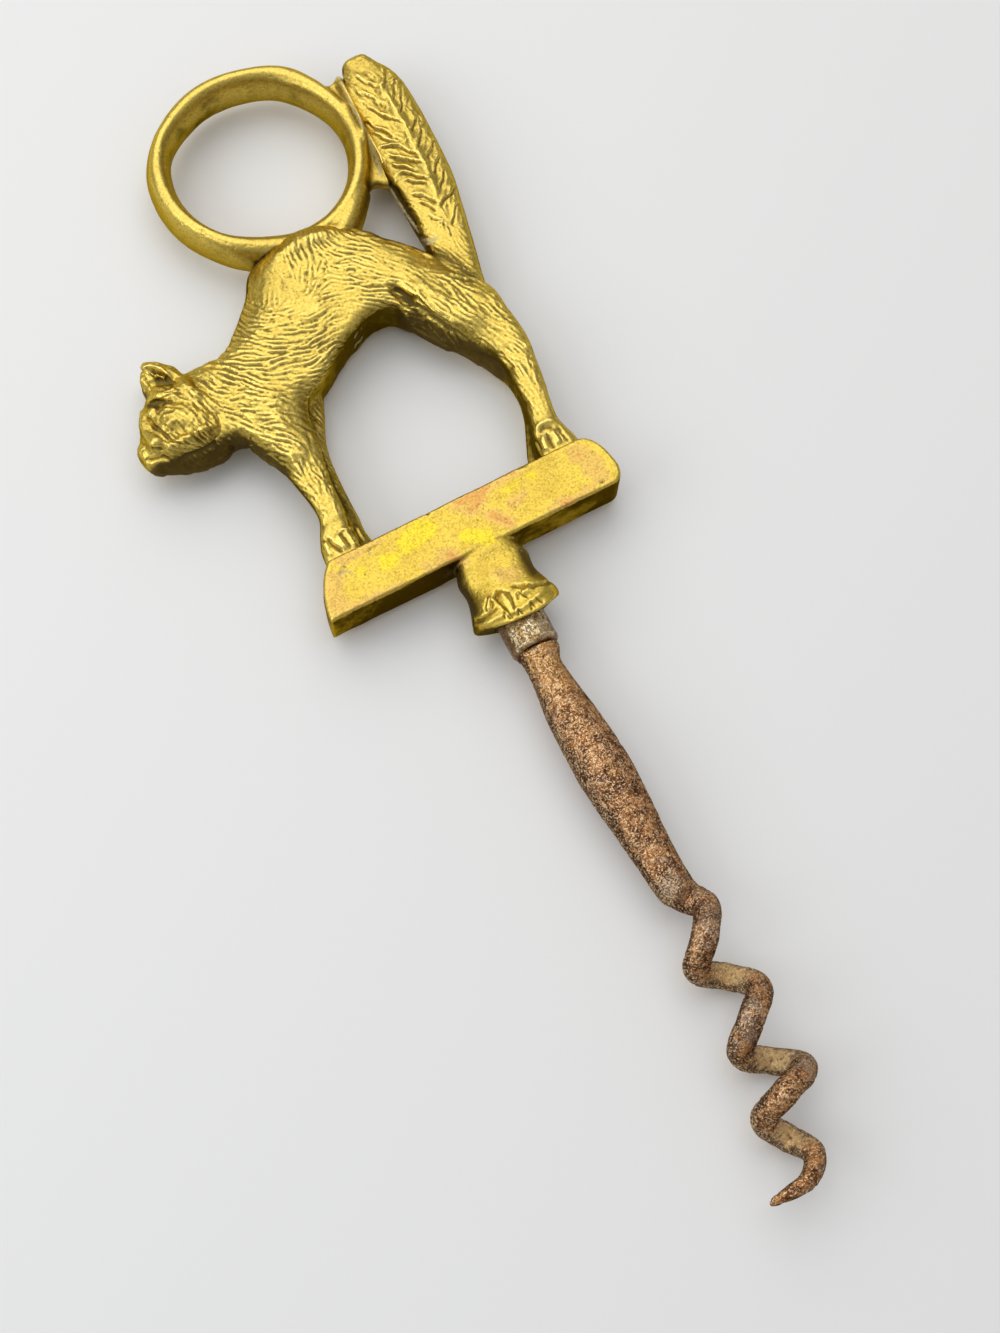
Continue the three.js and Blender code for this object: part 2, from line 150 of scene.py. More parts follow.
def fused(shells, voxel):
    """Closed shells that overlap, made one even skin of quads by a voxel remesh of that size."""
    points, faces, start = [], [], 0
    for shell_points, shell_faces in shells:
        points.append(shell_points)
        faces.extend([[corner + start for corner in face] for face in shell_faces])
        start += len(shell_points)
    mesh = bpy.data.meshes.new("rough")
    mesh.from_pydata(np.vstack(points).tolist(), [], faces)
    rough = bpy.data.objects.new("rough", mesh)
    bpy.context.scene.collection.objects.link(rough)
    remesh = rough.modifiers.new("remesh", "REMESH")
    remesh.mode = "VOXEL"
    remesh.voxel_size = voxel
    remesh.adaptivity = 0
    evaluated = rough.evaluated_get(bpy.context.evaluated_depsgraph_get())
    skin = bpy.data.meshes.new_from_object(evaluated)
    places = np.empty(len(skin.vertices) * 3)
    skin.vertices.foreach_get("co", places)
    corners = np.empty(len(skin.loops), int)
    skin.loops.foreach_get("vertex_index", corners)
    bpy.data.objects.remove(rough)
    bpy.data.meshes.remove(mesh)
    bpy.data.meshes.remove(skin)
    return places.reshape(-1, 3), corners.reshape(-1, 4)


def spread(quads, values):
    """The sum, at each point, of the values at its neighbours along the quads' edges."""
    count = len(values)
    out = np.zeros_like(values, float)
    for a, b in ((0, 1), (1, 2), (2, 3), (3, 0)):
        if values.ndim == 1:
            out += np.bincount(quads[:, a], values[quads[:, b]], count)
        else:
            for axis in range(values.shape[1]):
                out[:, axis] += np.bincount(quads[:, a], values[quads[:, b], axis], count)
    return out


def melted(shells, coarse, fine, rounds, hollow=0.02):
    """Shells fused twice: coarsely, with the creases between them filled over a wide reach, and
    then finely, so that limbs flow into one another as in a casting."""
    points, quads = fused(shells, coarse)
    points = soften(points, quads, 2)
    points = soften(points, quads, rounds, hollow)
    points, quads = fused([(points, quads.tolist())], fine)
    return soften(points, quads, 10), quads


def normals_of(points, quads):
    """Normals at the points: the quads' diagonal cross products, summed and made one long."""
    p = points[quads]
    cross = np.cross(p[:, 2] - p[:, 0], p[:, 3] - p[:, 1])
    out = np.zeros_like(points)
    for corner in range(4):
        for axis in range(3):
            out[:, axis] += np.bincount(quads[:, corner], cross[:, axis], len(points))
    return out / np.maximum(np.linalg.norm(out, axis=1, keepdims=True), 1e-12)


def facing_out(points, quads):
    """The quads of a closed skin, turned round if the volume inside them comes out under 0."""
    p = points[quads]
    volume = ((np.cross(p[:, 0], p[:, 1]) * p[:, 2]).sum()
              + (np.cross(p[:, 0], p[:, 2]) * p[:, 3]).sum())
    return quads[:, ::-1] if volume < 0 else quads


def soften(points, quads, rounds, hollow=None):
    """Moves each point half the way to its neighbours' mean, round after round. With hollow set, a
    point that stands proud stays, and one below its neighbours moves by its depth / hollow, up to
    the whole of that, which fills a crease."""
    degree = np.maximum(spread(quads, np.ones(len(points))), 1)[:, None]
    for _ in range(rounds):
        pull = spread(quads, points) / degree - points
        if hollow is not None:
            rise = (pull * normals_of(points, quads)).sum(1)
            pull *= np.clip(rise / hollow, 0, 1)[:, None]
        points = points + 0.5 * pull
    return points


# Noise and brushes

LATTICE_CELLS = 32  # the noise repeats after so many cells


def lattice_noise(points, size, seed):
    """Smooth noise from -1 to 1: random values on a lattice of that size, blended between its
    corners by u^2 (3 - 2u)."""
    values = np.random.default_rng(seed).uniform(-1, 1, (LATTICE_CELLS,) * 3)
    scaled = points / size
    base = np.floor(scaled).astype(int)
    u = scaled - base
    u = u * u * (3 - 2 * u)
    total = np.zeros(len(points))
    for x in (0, 1):
        for y in (0, 1):
            for z in (0, 1):
                weight = (np.where(x, u[:, 0], 1 - u[:, 0]) * np.where(y, u[:, 1], 1 - u[:, 1])
                          * np.where(z, u[:, 2], 1 - u[:, 2]))
                corner = (base + (x, y, z)) % LATTICE_CELLS
                total += weight * values[corner[:, 0], corner[:, 1], corner[:, 2]]
    return total


def flat_noise(places, size, seed):
    """The same noise at places that have no height."""
    return lattice_noise(np.column_stack([places, np.zeros(len(places))]), size, seed)


def layered_noise(points, size, seed, layers=3):
    """Noise of falling sizes, each half as strong as the one before."""
    return sum(lattice_noise(points, size / 2 ** k, seed + k) / 2 ** k for k in range(layers))


def step_between(low, high, value):
    """0 below low, 1 above high, and u^2 (3 - 2u) between them."""
    u = np.clip((value - low) / (high - low), 0, 1)
    return u * u * (3 - 2 * u)


def seen_place(points, level):
    """Where the line of sight through each point meets a plane that high above the middle plane.
    Marks read from a straightened view of the object are placed by it, alike on both faces."""
    mirrored = points.copy()
    mirrored[:, 2] = MID + np.abs(points[:, 2] - MID)
    share = (EYE[2] - MID - level) / (EYE[2] - mirrored[:, 2])
    return (EYE + (mirrored - EYE) * share[:, None])[:, :2]


def from_line(places, line):
    """Distance of each place from a line of points, and how far along it (0 to 1) it is nearest."""
    line = np.array(line, float)
    starts, ends = line[:-1], line[1:]
    lengths = np.linalg.norm(ends - starts, axis=1)
    before = np.concatenate([[0], np.cumsum(lengths)])
    nearest = np.full(len(places), 1e9)
    along = np.zeros(len(places))
    for start, end, length, passed in zip(starts, ends, lengths, before):
        way = end - start
        share = np.clip(((places - start) @ way) / max(length ** 2, 1e-9), 0, 1)
        gap = np.linalg.norm(places - start - share[:, None] * way, axis=1)
        closer = gap < nearest
        nearest = np.where(closer, gap, nearest)
        along = np.where(closer, (passed + share * length) / before[-1], along)
    return nearest, along


STROKE_REACH = 2.6  # radii from a stroke past which its height is left out
THIN_STROKE = 7  # a stroke longer than so many radii is a thin one
END_RISE, END_LEAST = 5, 0.25


def brushed(places, strokes):
    """Height from brush strokes. A stroke is [height, radius, points]: a ridge, or a groove where
    the height is under 0, of height e^(-(distance / radius)^2). A thin one runs out at both ends."""
    height = np.zeros(len(places))
    for amount, radius, line in strokes:
        line = np.array(line, float).reshape(-1, 2)
        reach = STROKE_REACH * radius
        near = np.all((places > line.min(0) - reach) & (places < line.max(0) + reach), axis=1)
        if not near.any():
            continue
        if len(line) == 1:
            gap = np.linalg.norm(places[near] - line[0], axis=1)
            height[near] += amount * np.exp(-(gap / radius) ** 2)
        else:
            gap, along = from_line(places[near], line)
            thin = np.linalg.norm(np.diff(line, axis=0), axis=1).sum() > THIN_STROKE * radius
            nearer_end = np.minimum(along, 1 - along)
            ends = np.clip(nearer_end * END_RISE + END_LEAST, 0, 1) if thin else 1.0
            height[near] += amount * ends * np.exp(-(gap / radius) ** 2)
    return height


# Sizes of the casting

CAT_LENGTH, CAT_HEIGHT, CAT_DEPTH = 53.0, 46.0, 8.4
PLINTH_TOP = 3.8
# Each row of the torso: a point of the back line, a point of the belly line, half depth
torso_lines = [
    [-24.1, 36.0, -24.1, 24.6, 3.2], [-20.3, 36.4, -20.1, 24.3, 3.5],
    [-17.3, 37.4, -14.9, 24.9, 3.85], [-15.0, 39.6, -8.6, 26.5, 4.05],
    [-11.7, 43.2, -4.4, 29.3, 4.15], [-9.3, 46.7, -1.2, 31.3, 4.2],
    [-3.6, 48.3, 1.1, 32.4, 4.2], [1.9, 48.1, 3.1, 32.8, 4.2],
    [6.3, 45.9, 4.9, 32.4, 4.2], [9.3, 42.8, 5.5, 31.2, 4.15],
    [13.2, 39.0, 6.2, 29.5, 4.05], [16.9, 33.8, 7.6, 27.0, 3.9],
    [17.6, 29.4, 9.3, 24.6, 3.3], [17.2, 27.4, 11.2, 23.4, 2.4],
]
# Each row is a station of a limb: share of the cat's length from the worm's line, share of its
# height above the plinth, half width as a share of the height, side and half depth as shares of depth
neck_shares = [[-0.36, 0.592, 0.125, 0, 0.4], [-0.40, 0.586, 0.128, 0, 0.41]]
head_shares = [
    [-0.447, 0.579, 0.141, 0, 0.44], [-0.497, 0.558, 0.148, 0, 0.45],
    [-0.539, 0.538, 0.126, 0, 0.42], [-0.576, 0.523, 0.092, 0, 0.35],
    [-0.603, 0.513, 0.06, 0, 0.25],
]
near_ear_shares = [
    [-0.483, 0.665, 0.058, 0.2, 0.14], [-0.495, 0.713, 0.048, 0.22, 0.12],
    [-0.514, 0.757, 0.026, 0.23, 0.085], [-0.525, 0.778, 0.01, 0.23, 0.05],
]
far_ear_shares = [
    [-0.503, 0.675, 0.058, -0.2, 0.14], [-0.515, 0.73, 0.044, -0.22, 0.12],
    [-0.525, 0.775, 0.026, -0.23, 0.085], [-0.529, 0.8, 0.01, -0.23, 0.05],
]
foreleg_shares = [
    [-0.262, 0.635, 0.06, 0.1, 0.2], [-0.287, 0.549, 0.113, 0.2, 0.24],
    [-0.301, 0.44, 0.1, 0.214, 0.24], [-0.299, 0.332, 0.059, 0.214, 0.215],
    [-0.294, 0.251, 0.044, 0.205, 0.19], [-0.289, 0.168, 0.035, 0.2, 0.18],
    [-0.29, 0.114, 0.036, 0.19, 0.175], [-0.299, 0.071, 0.044, 0.175, 0.175],
    [-0.304, 0.032, 0.055, 0.17, 0.175], [-0.306, -0.03, 0.059, 0.17, 0.175],
]
FORELEG_STEP_SHARE = 0.038
# The near foreleg is wider than the far one on the inner side of the arch
near_foreleg_shares = foreleg_shares[:3] + [
    [-0.289, 0.332, 0.07, 0.214, 0.215], [-0.2875, 0.251, 0.0515, 0.205, 0.19],
    [-0.285, 0.168, 0.04, 0.2, 0.18], [-0.287, 0.114, 0.0394, 0.19, 0.175],
] + foreleg_shares[7:]
near_hind_leg_shares = [
    [0.212, 0.63, 0.055, 0.1, 0.22], [0.253, 0.549, 0.1, 0.2, 0.26],
    [0.286, 0.451, 0.077, 0.215, 0.25], [0.305, 0.375, 0.059, 0.215, 0.22],
    [0.308, 0.299, 0.045, 0.205, 0.195], [0.3, 0.223, 0.042, 0.2, 0.18],
    [0.292, 0.153, 0.037, 0.19, 0.175], [0.285, 0.114, 0.041, 0.185, 0.175],
    [0.283, 0.071, 0.052, 0.175, 0.175], [0.285, 0.032, 0.06, 0.17, 0.175],
    [0.287, -0.03, 0.062, 0.17, 0.175],
]
far_hind_leg_shares = [
    [0.195, 0.63, 0.065, -0.1, 0.22], [0.226, 0.549, 0.084, -0.2, 0.26],
    [0.246, 0.5, 0.084, -0.21, 0.255], [0.263, 0.451, 0.068, -0.215, 0.25],
    [0.289, 0.375, 0.052, -0.215, 0.22], [0.305, 0.299, 0.043, -0.205, 0.195],
    [0.304, 0.223, 0.039, -0.2, 0.18], [0.29, 0.153, 0.041, -0.19, 0.175],
    [0.278, 0.114, 0.045, -0.185, 0.175], [0.27, 0.071, 0.055, -0.175, 0.175],
    [0.265, 0.032, 0.064, -0.17, 0.175], [0.265, -0.03, 0.066, -0.17, 0.175],
]
tail_shares = [
    [0.28, 0.62, 0.072, 0, 0.3], [0.303, 0.7, 0.064, 0, 0.3], [0.315, 0.79, 0.072, 0, 0.31],
    [0.321, 0.875, 0.083, 0, 0.33], [0.328, 0.96, 0.093, 0, 0.34],
    [0.334, 1.08, 0.096, 0, 0.34], [0.339, 1.21, 0.096, 0, 0.33],
    [0.338, 1.34, 0.087, 0, 0.3], [0.332, 1.43, 0.046, 0, 0.25],
]
ring_foot_shares = [
    [0.06, 0.905, 0.045, 0, 0.36], [0.115, 0.963, 0.043, 0, 0.37], [0.17, 1.03, 0.036, 0, 0.36],
]
RING_BORE, RING_BAND, RING_DEPTH = 23.8, 3.2, 6.5
RING_SEAT_SHARES = (-0.022, 0.906)  # where the ring's foot stands on the hump
RING_X = RING_SEAT_SHARES[0] * CAT_LENGTH
RING_Y = PLINTH_TOP + RING_SEAT_SHARES[1] * CAT_HEIGHT + RING_BORE / 2 + RING_BAND
LIMB_END_TURNS = (85, 70, 50, 30, 15)  # degrees, from a limb's tip to its first station


def limb(rows, shift_share=0.0, flip=False, sides=40, cap=0.55, roundness=1.0):
    """A limb of the cat: ovals square to a smooth line through its stations. At each end they
    shrink as cos t while they move on by cap sin t of the half width, which rounds it."""
    along, up, width, side, depth = np.array(rows, float).T
    sized = np.stack([(along + shift_share) * CAT_LENGTH, PLINTH_TOP + up * CAT_HEIGHT,
                      MID + (-1 if flip else 1) * side * CAT_DEPTH,
                      width * CAT_HEIGHT, depth * CAT_DEPTH], 1)
    fine = smooth_rows(sized, 10)
    centres, half_width, half_depth = fine[:, :3], fine[:, 3], fine[:, 4]
    forward = np.gradient(centres, axis=0)
    forward[:, 2] = 0
    forward /= np.linalg.norm(forward, axis=1, keepdims=True)
    turns = np.radians(LIMB_END_TURNS)
    first = centres[0] - np.outer(np.sin(turns) * half_width[0] * cap, forward[0])
    last = centres[-1] + np.outer(np.sin(turns[::-1]) * half_width[-1] * cap, forward[-1])
    centres = np.vstack([first, centres, last])
    ends = (len(turns), 1)
    forward = np.vstack([np.tile(forward[0], ends), forward, np.tile(forward[-1], ends)])
    narrow, widen = np.cos(turns), np.cos(turns[::-1])
    half_width = np.concatenate([half_width[0] * narrow, half_width, half_width[-1] * widen])
    half_depth = np.concatenate([half_depth[0] * narrow, half_depth, half_depth[-1] * widen])
    upward = np.tile([0.0, 0, 1], (len(centres), 1))
    across = np.cross(upward, forward)
    points, quads = sweep(centres, across, upward, half_width, half_depth, sides, roundness)
    return closed(points, quads, sides)


HUMP_X, HUMP_REACH = -1.5, 5.0
SIDE_STEEPNESS, BELLY_SQUARENESS, HUMP_SQUARENESS = 1.6, 0.64, 0.55


def torso_shell(sides=80):
    """The torso: ovals that stand between the back line and the belly line, squared at the belly
    and, by e^(-((x - hump) / reach)^2), at the hump's top."""
    rows = smooth_rows(torso_lines, 12, 4)
    zero = np.zeros((len(rows), 1))
    centres = np.hstack([(rows[:, :2] + rows[:, 2:4]) / 2, zero + MID])
    across = np.hstack([(rows[:, :2] - rows[:, 2:4]) / 2, zero])
    upward = np.tile([0.0, 0, 1], (len(rows), 1))
    side = SIDE_STEEPNESS * np.cos(np.linspace(0, 2 * np.pi, sides, endpoint=False))[None]
    hump = np.exp(-((rows[:, 0:1] - HUMP_X) / HUMP_REACH) ** 2)
    roundness = (1.0 - BELLY_SQUARENESS * np.clip(-side, 0, 1)
                 - HUMP_SQUARENESS * hump * np.clip(side, 0, 1))
    points, quads = sweep(centres, across, upward, np.ones(len(rows)), rows[:, 4], sides, roundness)
    return closed(points, quads, sides)


# Plinth, boss, ring and seam

PLINTH_LENGTH, PLINTH_HEIGHT, PLINTH_DEPTH, PLINTH_EDGE = 42.0, 7.6, 6.4, 0.45
# The plinth's outline: straight runs, and curves that bend towards a corner, as shares of its size
HEAD_FOOT, TAIL_FOOT = (-0.516, -0.52), (0.445, -0.42)
TAIL_FOOT_CORNER, TAIL_END = (0.483, -0.41), (0.487, -0.12)
TAIL_SHOULDER_CORNER, TAIL_SHOULDER = (0.475, 0.58), (0.41, 0.595)
HEAD_SHOULDER, HEAD_END_CORNER = (-0.44, 0.475), (-0.509, 0.14)
BOSS_TOP, BOSS_LENGTH, BOSS_LIP, BOSS_LEAN = -PLINTH_TOP, 9.7, 1.2, math.radians(14)
BOSS_FOOT = BOSS_TOP - BOSS_LENGTH
SEAT_FLOOR, SEAT_RADIUS = BOSS_FOOT + 1.2, 3.5
FLANGE_WIDTH, FLANGE_DEPTH, FLANGE_ROUNDNESS, LIP_REACH = 11.8, 8.8, 0.74, 6.31
# The flange's rounded lower edge: shares of its width and depth, and height over its foot
flange_edge = [(1, 1, 0.35), (0.985, 0.98, 0.08), (0.95, 0.94, 0)]
# The boss from the plinth down: share of its length, of half the flange's width and of its depth
boss_rows = [
    [-0.1, 0.72, 0.7], [0, 0.73, 0.73], [0.07, 0.77, 0.72], [0.14, 0.81, 0.7], [0.22, 0.84, 0.7],
    [0.3, 0.82, 0.7], [0.4, 0.8, 0.71], [0.52, 0.83, 0.77], [0.65, 0.9, 0.87],
    [0.75, 0.96, 0.96], [0.83, 1, 1],
]
seam_line = [[11.0, 53.5], [9.6, 50.6], [11.6, 51.6], [13.3, 49.8], [15.6, 52.0], [16.0, 66.0],
             [14.8, 69.4], [13.1, 67.9], [11.1, 69.5], [10.9, 66.5], [12.2, 60.6]]


def bend(start, corner, end, count=12):
    """A curve (1-t)^2 start + 2t(1-t) corner + t^2 end, without its last point."""
    t = np.linspace(0, 1, count, endpoint=False)[:, None]
    return ((1 - t) ** 2 * np.array(start) + 2 * t * (1 - t) * np.array(corner)
            + t ** 2 * np.array(end))


def slab(outline, half_depth, edge, steps=4):
    """An outline carried through a depth: the outline drawn in by edge (1 - cos t) at a height of
    half_depth - edge (1 - sin t), t from 90 degrees to 0, and the same again at the back."""
    following = np.roll(outline, -1, 0) - outline
    normal = np.stack([following[:, 1], -following[:, 0]], 1)
    normal /= np.linalg.norm(normal, axis=1, keepdims=True)
    normal = normal + np.roll(normal, 1, 0)
    normal /= np.linalg.norm(normal, axis=1, keepdims=True)
    t = np.linspace(np.pi / 2, 0, steps)
    inward = np.concatenate([edge * (1 - np.cos(t)), edge * (1 - np.cos(t[::-1]))])
    height = half_depth - edge * (1 - np.sin(t))
    height = np.concatenate([-height, height[::-1]])
    flat = outline[None] - normal[None] * inward[:, None, None]
    points = np.concatenate([flat, np.repeat(MID + height, len(outline)).reshape(
        len(height), len(outline), 1)], 2)
    return closed(points.reshape(-1, 3), grid_faces(len(height), len(outline)), len(outline))


def straight(start, end):
    """A straight run of 24 points from start towards end, without its last point."""
    return bend(start, ((start[0] + end[0]) / 2, (start[1] + end[1]) / 2), end, 24)


def plinth_shell():
    """The bar that the cat stands on: its outline of runs and bends, carried through its depth."""
    outline = np.vstack([
        straight(HEAD_FOOT, TAIL_FOOT),
        bend(TAIL_FOOT, TAIL_FOOT_CORNER, TAIL_END),
        bend(TAIL_END, TAIL_SHOULDER_CORNER, TAIL_SHOULDER),
        straight(TAIL_SHOULDER, HEAD_SHOULDER),
        bend(HEAD_SHOULDER, HEAD_END_CORNER, HEAD_FOOT),
    ]) * (PLINTH_LENGTH, PLINTH_HEIGHT)
    return slab(outline, PLINTH_DEPTH / 2, PLINTH_EDGE)


def boss_shell(sides=96):
    """The oval socket: squared ovals down to a foot, whose height is lip (x / reach)^2 less
    z tan(lean), then up inside to the floor of the collar's seat, so that it is one closed skin."""
    rows = smooth_rows(boss_rows, 6)
    turn = np.linspace(0, 2 * np.pi, sides, endpoint=False)
    cos, sin = np.cos(turn), np.sin(turn)
    x = FLANGE_WIDTH / 2 * np.sign(cos) * np.abs(cos) ** FLANGE_ROUNDNESS
    z = FLANGE_DEPTH / 2 * np.sign(sin) * np.abs(sin) ** FLANGE_ROUNDNESS
    outer = np.stack([rows[:, 1:2] * x, np.repeat(BOSS_TOP - rows[:, 0:1] * BOSS_LENGTH, sides, 1),
                      rows[:, 2:3] * z], 2)

    def foot(x, z, lift=0.0):
        rise = BOSS_LIP * (x / LIP_REACH) ** 2 - z * math.tan(BOSS_LEAN)
        return np.stack([x, BOSS_FOOT + rise + lift, z], 1)[None]

    inner_x, inner_z = SEAT_RADIUS * cos, SEAT_RADIUS * sin
    floor = np.stack([inner_x, np.full(sides, SEAT_FLOOR), inner_z], 1)[None]
    edge = [foot(wide * x, deep * z, lift) for wide, deep, lift in flange_edge]
    rings = np.vstack([outer, *edge, foot(inner_x, inner_z), floor])
    rings[..., 2] += MID
    points = rings.reshape(-1, 3)
    quads = grid_faces(len(rings), sides)
    return closed(points, quads, sides)


# How the ring swells or thins round its hole: angle and reach in degrees, then the change of its
# outside and of its inside in millimetres
ring_swells = [
    [52, 18, 0.7, 0.0], [60, 14, 0.0, 0.3], [142, 16, 0.0, 0.4], [166, 18, 0.4, 0.0],
    [213, 14, -0.35, 0.0], [248, 24, 0.0, -0.75],
]
RING_FOOT_ANGLE, RING_FOOT_REACH, RING_FOOT_THINNING = 268, 22, 0.16


def ring_shell(steps=260, sides=40):
    """The finger ring: an oval section carried round the finger hole. Its two edges waver a little
    and are uneven as in the table, each swell a bell e^(-(turn / reach)^2), and its depth is less
    by such a bell at its foot."""
    around = np.linspace(0, 2 * np.pi, steps + 1)
    turn = np.linspace(0, 2 * np.pi, sides, endpoint=False)
    outer = RING_BORE / 2 + RING_BAND + 0.05 * np.sin(7 * around + 2)
    inner = RING_BORE / 2 + 0.06 * np.sin(5 * around)
    for angle, reach, outside, inside in ring_swells:
        away = (np.degrees(around) - angle + 180) % 360 - 180
        bell = np.exp(-(away / reach) ** 2)
        outer, inner = outer + outside * bell, inner + inside * bell
    radius = (outer + inner)[:, None] / 2 + (outer - inner)[:, None] / 2 * np.cos(turn)[None]
    foot = (np.degrees(around) - RING_FOOT_ANGLE) / RING_FOOT_REACH
    depth = RING_DEPTH / 2 * (1 - RING_FOOT_THINNING * np.exp(-foot ** 2))
    points = np.stack([RING_X + radius * np.cos(around)[:, None],
                       RING_Y + radius * np.sin(around)[:, None],
                       MID + depth[:, None] * np.sin(turn)[None]], 2)
    points = points[:-1].reshape(-1, 3)
    quads = grid_faces(steps + 1, sides) % len(points)
    return points, quads.tolist()


SEAM_HALF_DEPTH, SEAM_EDGE = 1.0, 0.7


def seam_shell():
    """The brazed seam between ring and tail: a thin web with a rounded edge, its outline a bend
    round each corner that starts three tenths along one side and ends so on the next."""
    corners = np.array(seam_line)
    following = zip(corners, np.roll(corners, -1, 0), np.roll(corners, -2, 0))
    rounded = np.vstack([bend(a * 0.7 + b * 0.3, b, b * 0.7 + c * 0.3, 8) for a, b, c in following])
    rounded = rounded[::-1] if signed_area(rounded) < 0 else rounded
    return slab(rounded, SEAM_HALF_DEPTH, SEAM_EDGE)


def signed_area(outline):
    """Twice the area inside a closed outline, over 0 where it runs anticlockwise."""
    x, y = outline.T
    return float((x * np.roll(y, -1) - y * np.roll(x, -1)).sum())


# Fur and carved marks

# Which way the fur runs at places on the cat: x, y and degrees from the plinth's line
fur_ways = [
    (-18, 34, -25), (-15, 30, -33), (-19, 29, -25), (-17, 27, -35), (-16, 25, -50),
    (-20.5, 27.5, -40), (-15.5, 22, -65), (-14, 18, -70), (-15, 12, -80), (-12, 33, -12),
    (-10, 31, -5), (-8, 33, 0), (-6, 30, 15), (-8, 28, -15), (-5, 33, 10), (-14, 38, -40),
    (-15, 35, -25), (-12, 36, -20), (-9, 42, 65), (-6, 44, 80), (-3, 46, 90), (0, 46, 95),
    (2, 45, 110), (4, 43, -55), (-3, 42, 60), (-1, 42, 50), (1, 41.5, -40), (-2, 39.5, 5),
    (2, 40, -25), (0, 37.5, -30), (3, 38, -40), (5, 39, -45), (6, 42, -45), (0, 35, -42),
    (3, 34, -50), (5, 33, -60), (-3, 36, 0), (-3, 33, -20), (8, 40, -50), (10, 36, -60),
    (8, 35, -65), (10, 32, -65), (13, 33, -55), (15, 33, -60), (13, 29, -60), (16, 28, -65),
    (12, 26, -65), (15, 24, -60), (17, 24, -75), (16, 20, -80), (16, 16, -80), (15.5, 12, -85),
    (-12, 28, -30), (-11, 24, -40),
    (-24, 31, -70), (-22.7, 28, -80), (-28.5, 29.5, -62), (-26, 27, -68), (-26.5, 29.3, -52),
    (-27.2, 31.2, -40), (-24.6, 29.6, -72), (-25.5, 32.5, -50), (-27.5, 34.5, -5),
    (-24.5, 35, -60), (-22, 32, -55), (-29, 27, -50), (-31, 30, -60), (-23.5, 26.5, -75),
    (-24, 37, -50),
    (16.4, 67, -60), (15.6, 63, -58), (15.8, 59, -54), (16, 55, -42), (16, 51, -38), (16, 47, -42),
    (16.2, 43, -52), (18.7, 66, -80), (18.6, 58, -72), (18.3, 50, -60), (20.6, 66, 68), (20.5, 61, 62),
    (20.5, 56, 58), (20.4, 51, 56), (19.6, 46, 52), (18.8, 42, 60), (17.2, 38.5, -75), (17, 69.5, 10),
]
# How strongly the fur is carved at places on the cat: x, y and a share from 0 to 1
fur_strengths = [
    (-18, 31, 1), (-19, 27, 1), (-15, 33, 1), (-13, 38, 0.8), (-10, 33, 0.9), (-6, 31, 0.9),
    (-6, 42, 0.35), (-7, 44.5, 0.2), (-2, 45, 0.6), (2, 44, 0.6), (0, 41, 0.8), (-2, 34, 0.45),
    (-8, 38, 0.4), (4, 40, 0.8), (8, 38, 0.8), (13, 31, 0.85), (15, 26, 0.8), (17, 19, 0.6),
    (16, 12, 0.5), (15, 7.5, 0), (-14, 22, 0.85), (-15, 16, 0.6), (-15, 11, 0.5), (-15.5, 7, 0),
    (2, 36, 0.85), (10, 24, 0.6), (0, 31, 0.5),
    (-26.5, 30, 1), (-24, 28, 1), (-26, 27, 1), (-28.5, 28.5, 0.9), (-28, 34.5, 0.5),
    (-27, 31.4, 0.45), (-25, 31, 1), (-23, 30, 1), (-25, 33, 0.8),
    (-31, 28, 0.1), (-31.5, 31, 0.1), (-24.5, 34, 0.5), (-22.5, 31, 0.8), (-28, 37, 0),
    (-30, 24, 0.15), (-25, 24, 0.25), (-24, 36.5, 0.3),
    (17, 69.5, 0.2), (17, 65, 0.7), (16, 60, 0.8), (16, 54, 0.9), (16, 48, 0.9), (16, 43, 0.8),
    (20.4, 64, 0.6), (20.4, 57, 0.7), (20, 50, 0.8), (19.2, 45, 0.7), (12.6, 60, 0.1), (12.8, 50, 0.2),
]


BLEND_CORE = 0.6


def blended(places, known, power=3.0):
    """Values at places, each known value weighted by 1 / (distance + core)^power."""
    known = np.array(known, float)
    total = np.zeros((len(places), known.shape[1] - 2))
    weight = np.zeros((len(places), 1))
    for row in known:
        distance = np.linalg.norm(places - row[:2], axis=1, keepdims=True)
        near = 1 / (distance + BLEND_CORE) ** power
        total += near * row[2:]
        weight += near
    return total / weight


def sampled(grid, places, corner, cell):
    """Values of a grid at places, blended between its four nearest cells."""
    at = (places - corner) / cell
    at = np.clip(at, 0, np.array(grid.shape)[::-1] - 1.001)
    base = at.astype(int)
    u = at - base
    x, y = base[:, 0], base[:, 1]
    return ((grid[y, x] * (1 - u[:, 0]) + grid[y, x + 1] * u[:, 0]) * (1 - u[:, 1])
            + (grid[y + 1, x] * (1 - u[:, 0]) + grid[y + 1, x + 1] * u[:, 0]) * u[:, 1])


def band_noise(shape, cell, wave, seed):
    """Noise of one wavelength: white noise whose spectrum is kept near 1 / wave, by a bell half
    as wide as that."""
    white = np.random.default_rng(seed).normal(size=shape)
    fx, fy = np.fft.rfftfreq(shape[1], cell), np.fft.fftfreq(shape[0], cell)
    frequency = np.hypot(fx[None], fy[:, None])
    keep = np.exp(-((frequency - 1 / wave) * wave / 0.5) ** 2)
    noise = np.fft.irfft2(np.fft.rfft2(white) * keep, shape)
    return noise / noise.std()


# The fur's grid: its lowest corner, its cell and its size, in millimetres
FUR_CORNER, FUR_CELL = np.array([-36.0, -2.0]), 0.08
FUR_WIDTH, FUR_HEIGHT = 58.0, 74.0
# The fur's locks: how many places are tried, how many degrees they sway together and each alone,
# how far apart they lie along and across the fur, and by what limits that and their length, depth
# and width differ
LOCK_TRIES, LOCK_SWAY, LOCK_JITTER = 24000, 16, 7
LOCK_APART_ALONG, LOCK_APART_ACROSS, LOCK_ROOM = 1.6, 0.45, (0.8, 1.35)
LOCK_LENGTHS, LOCK_DEPTHS, LOCK_WIDTHS = (1.4, 3.8), (0.5, 1.15), (0.12, 0.19)
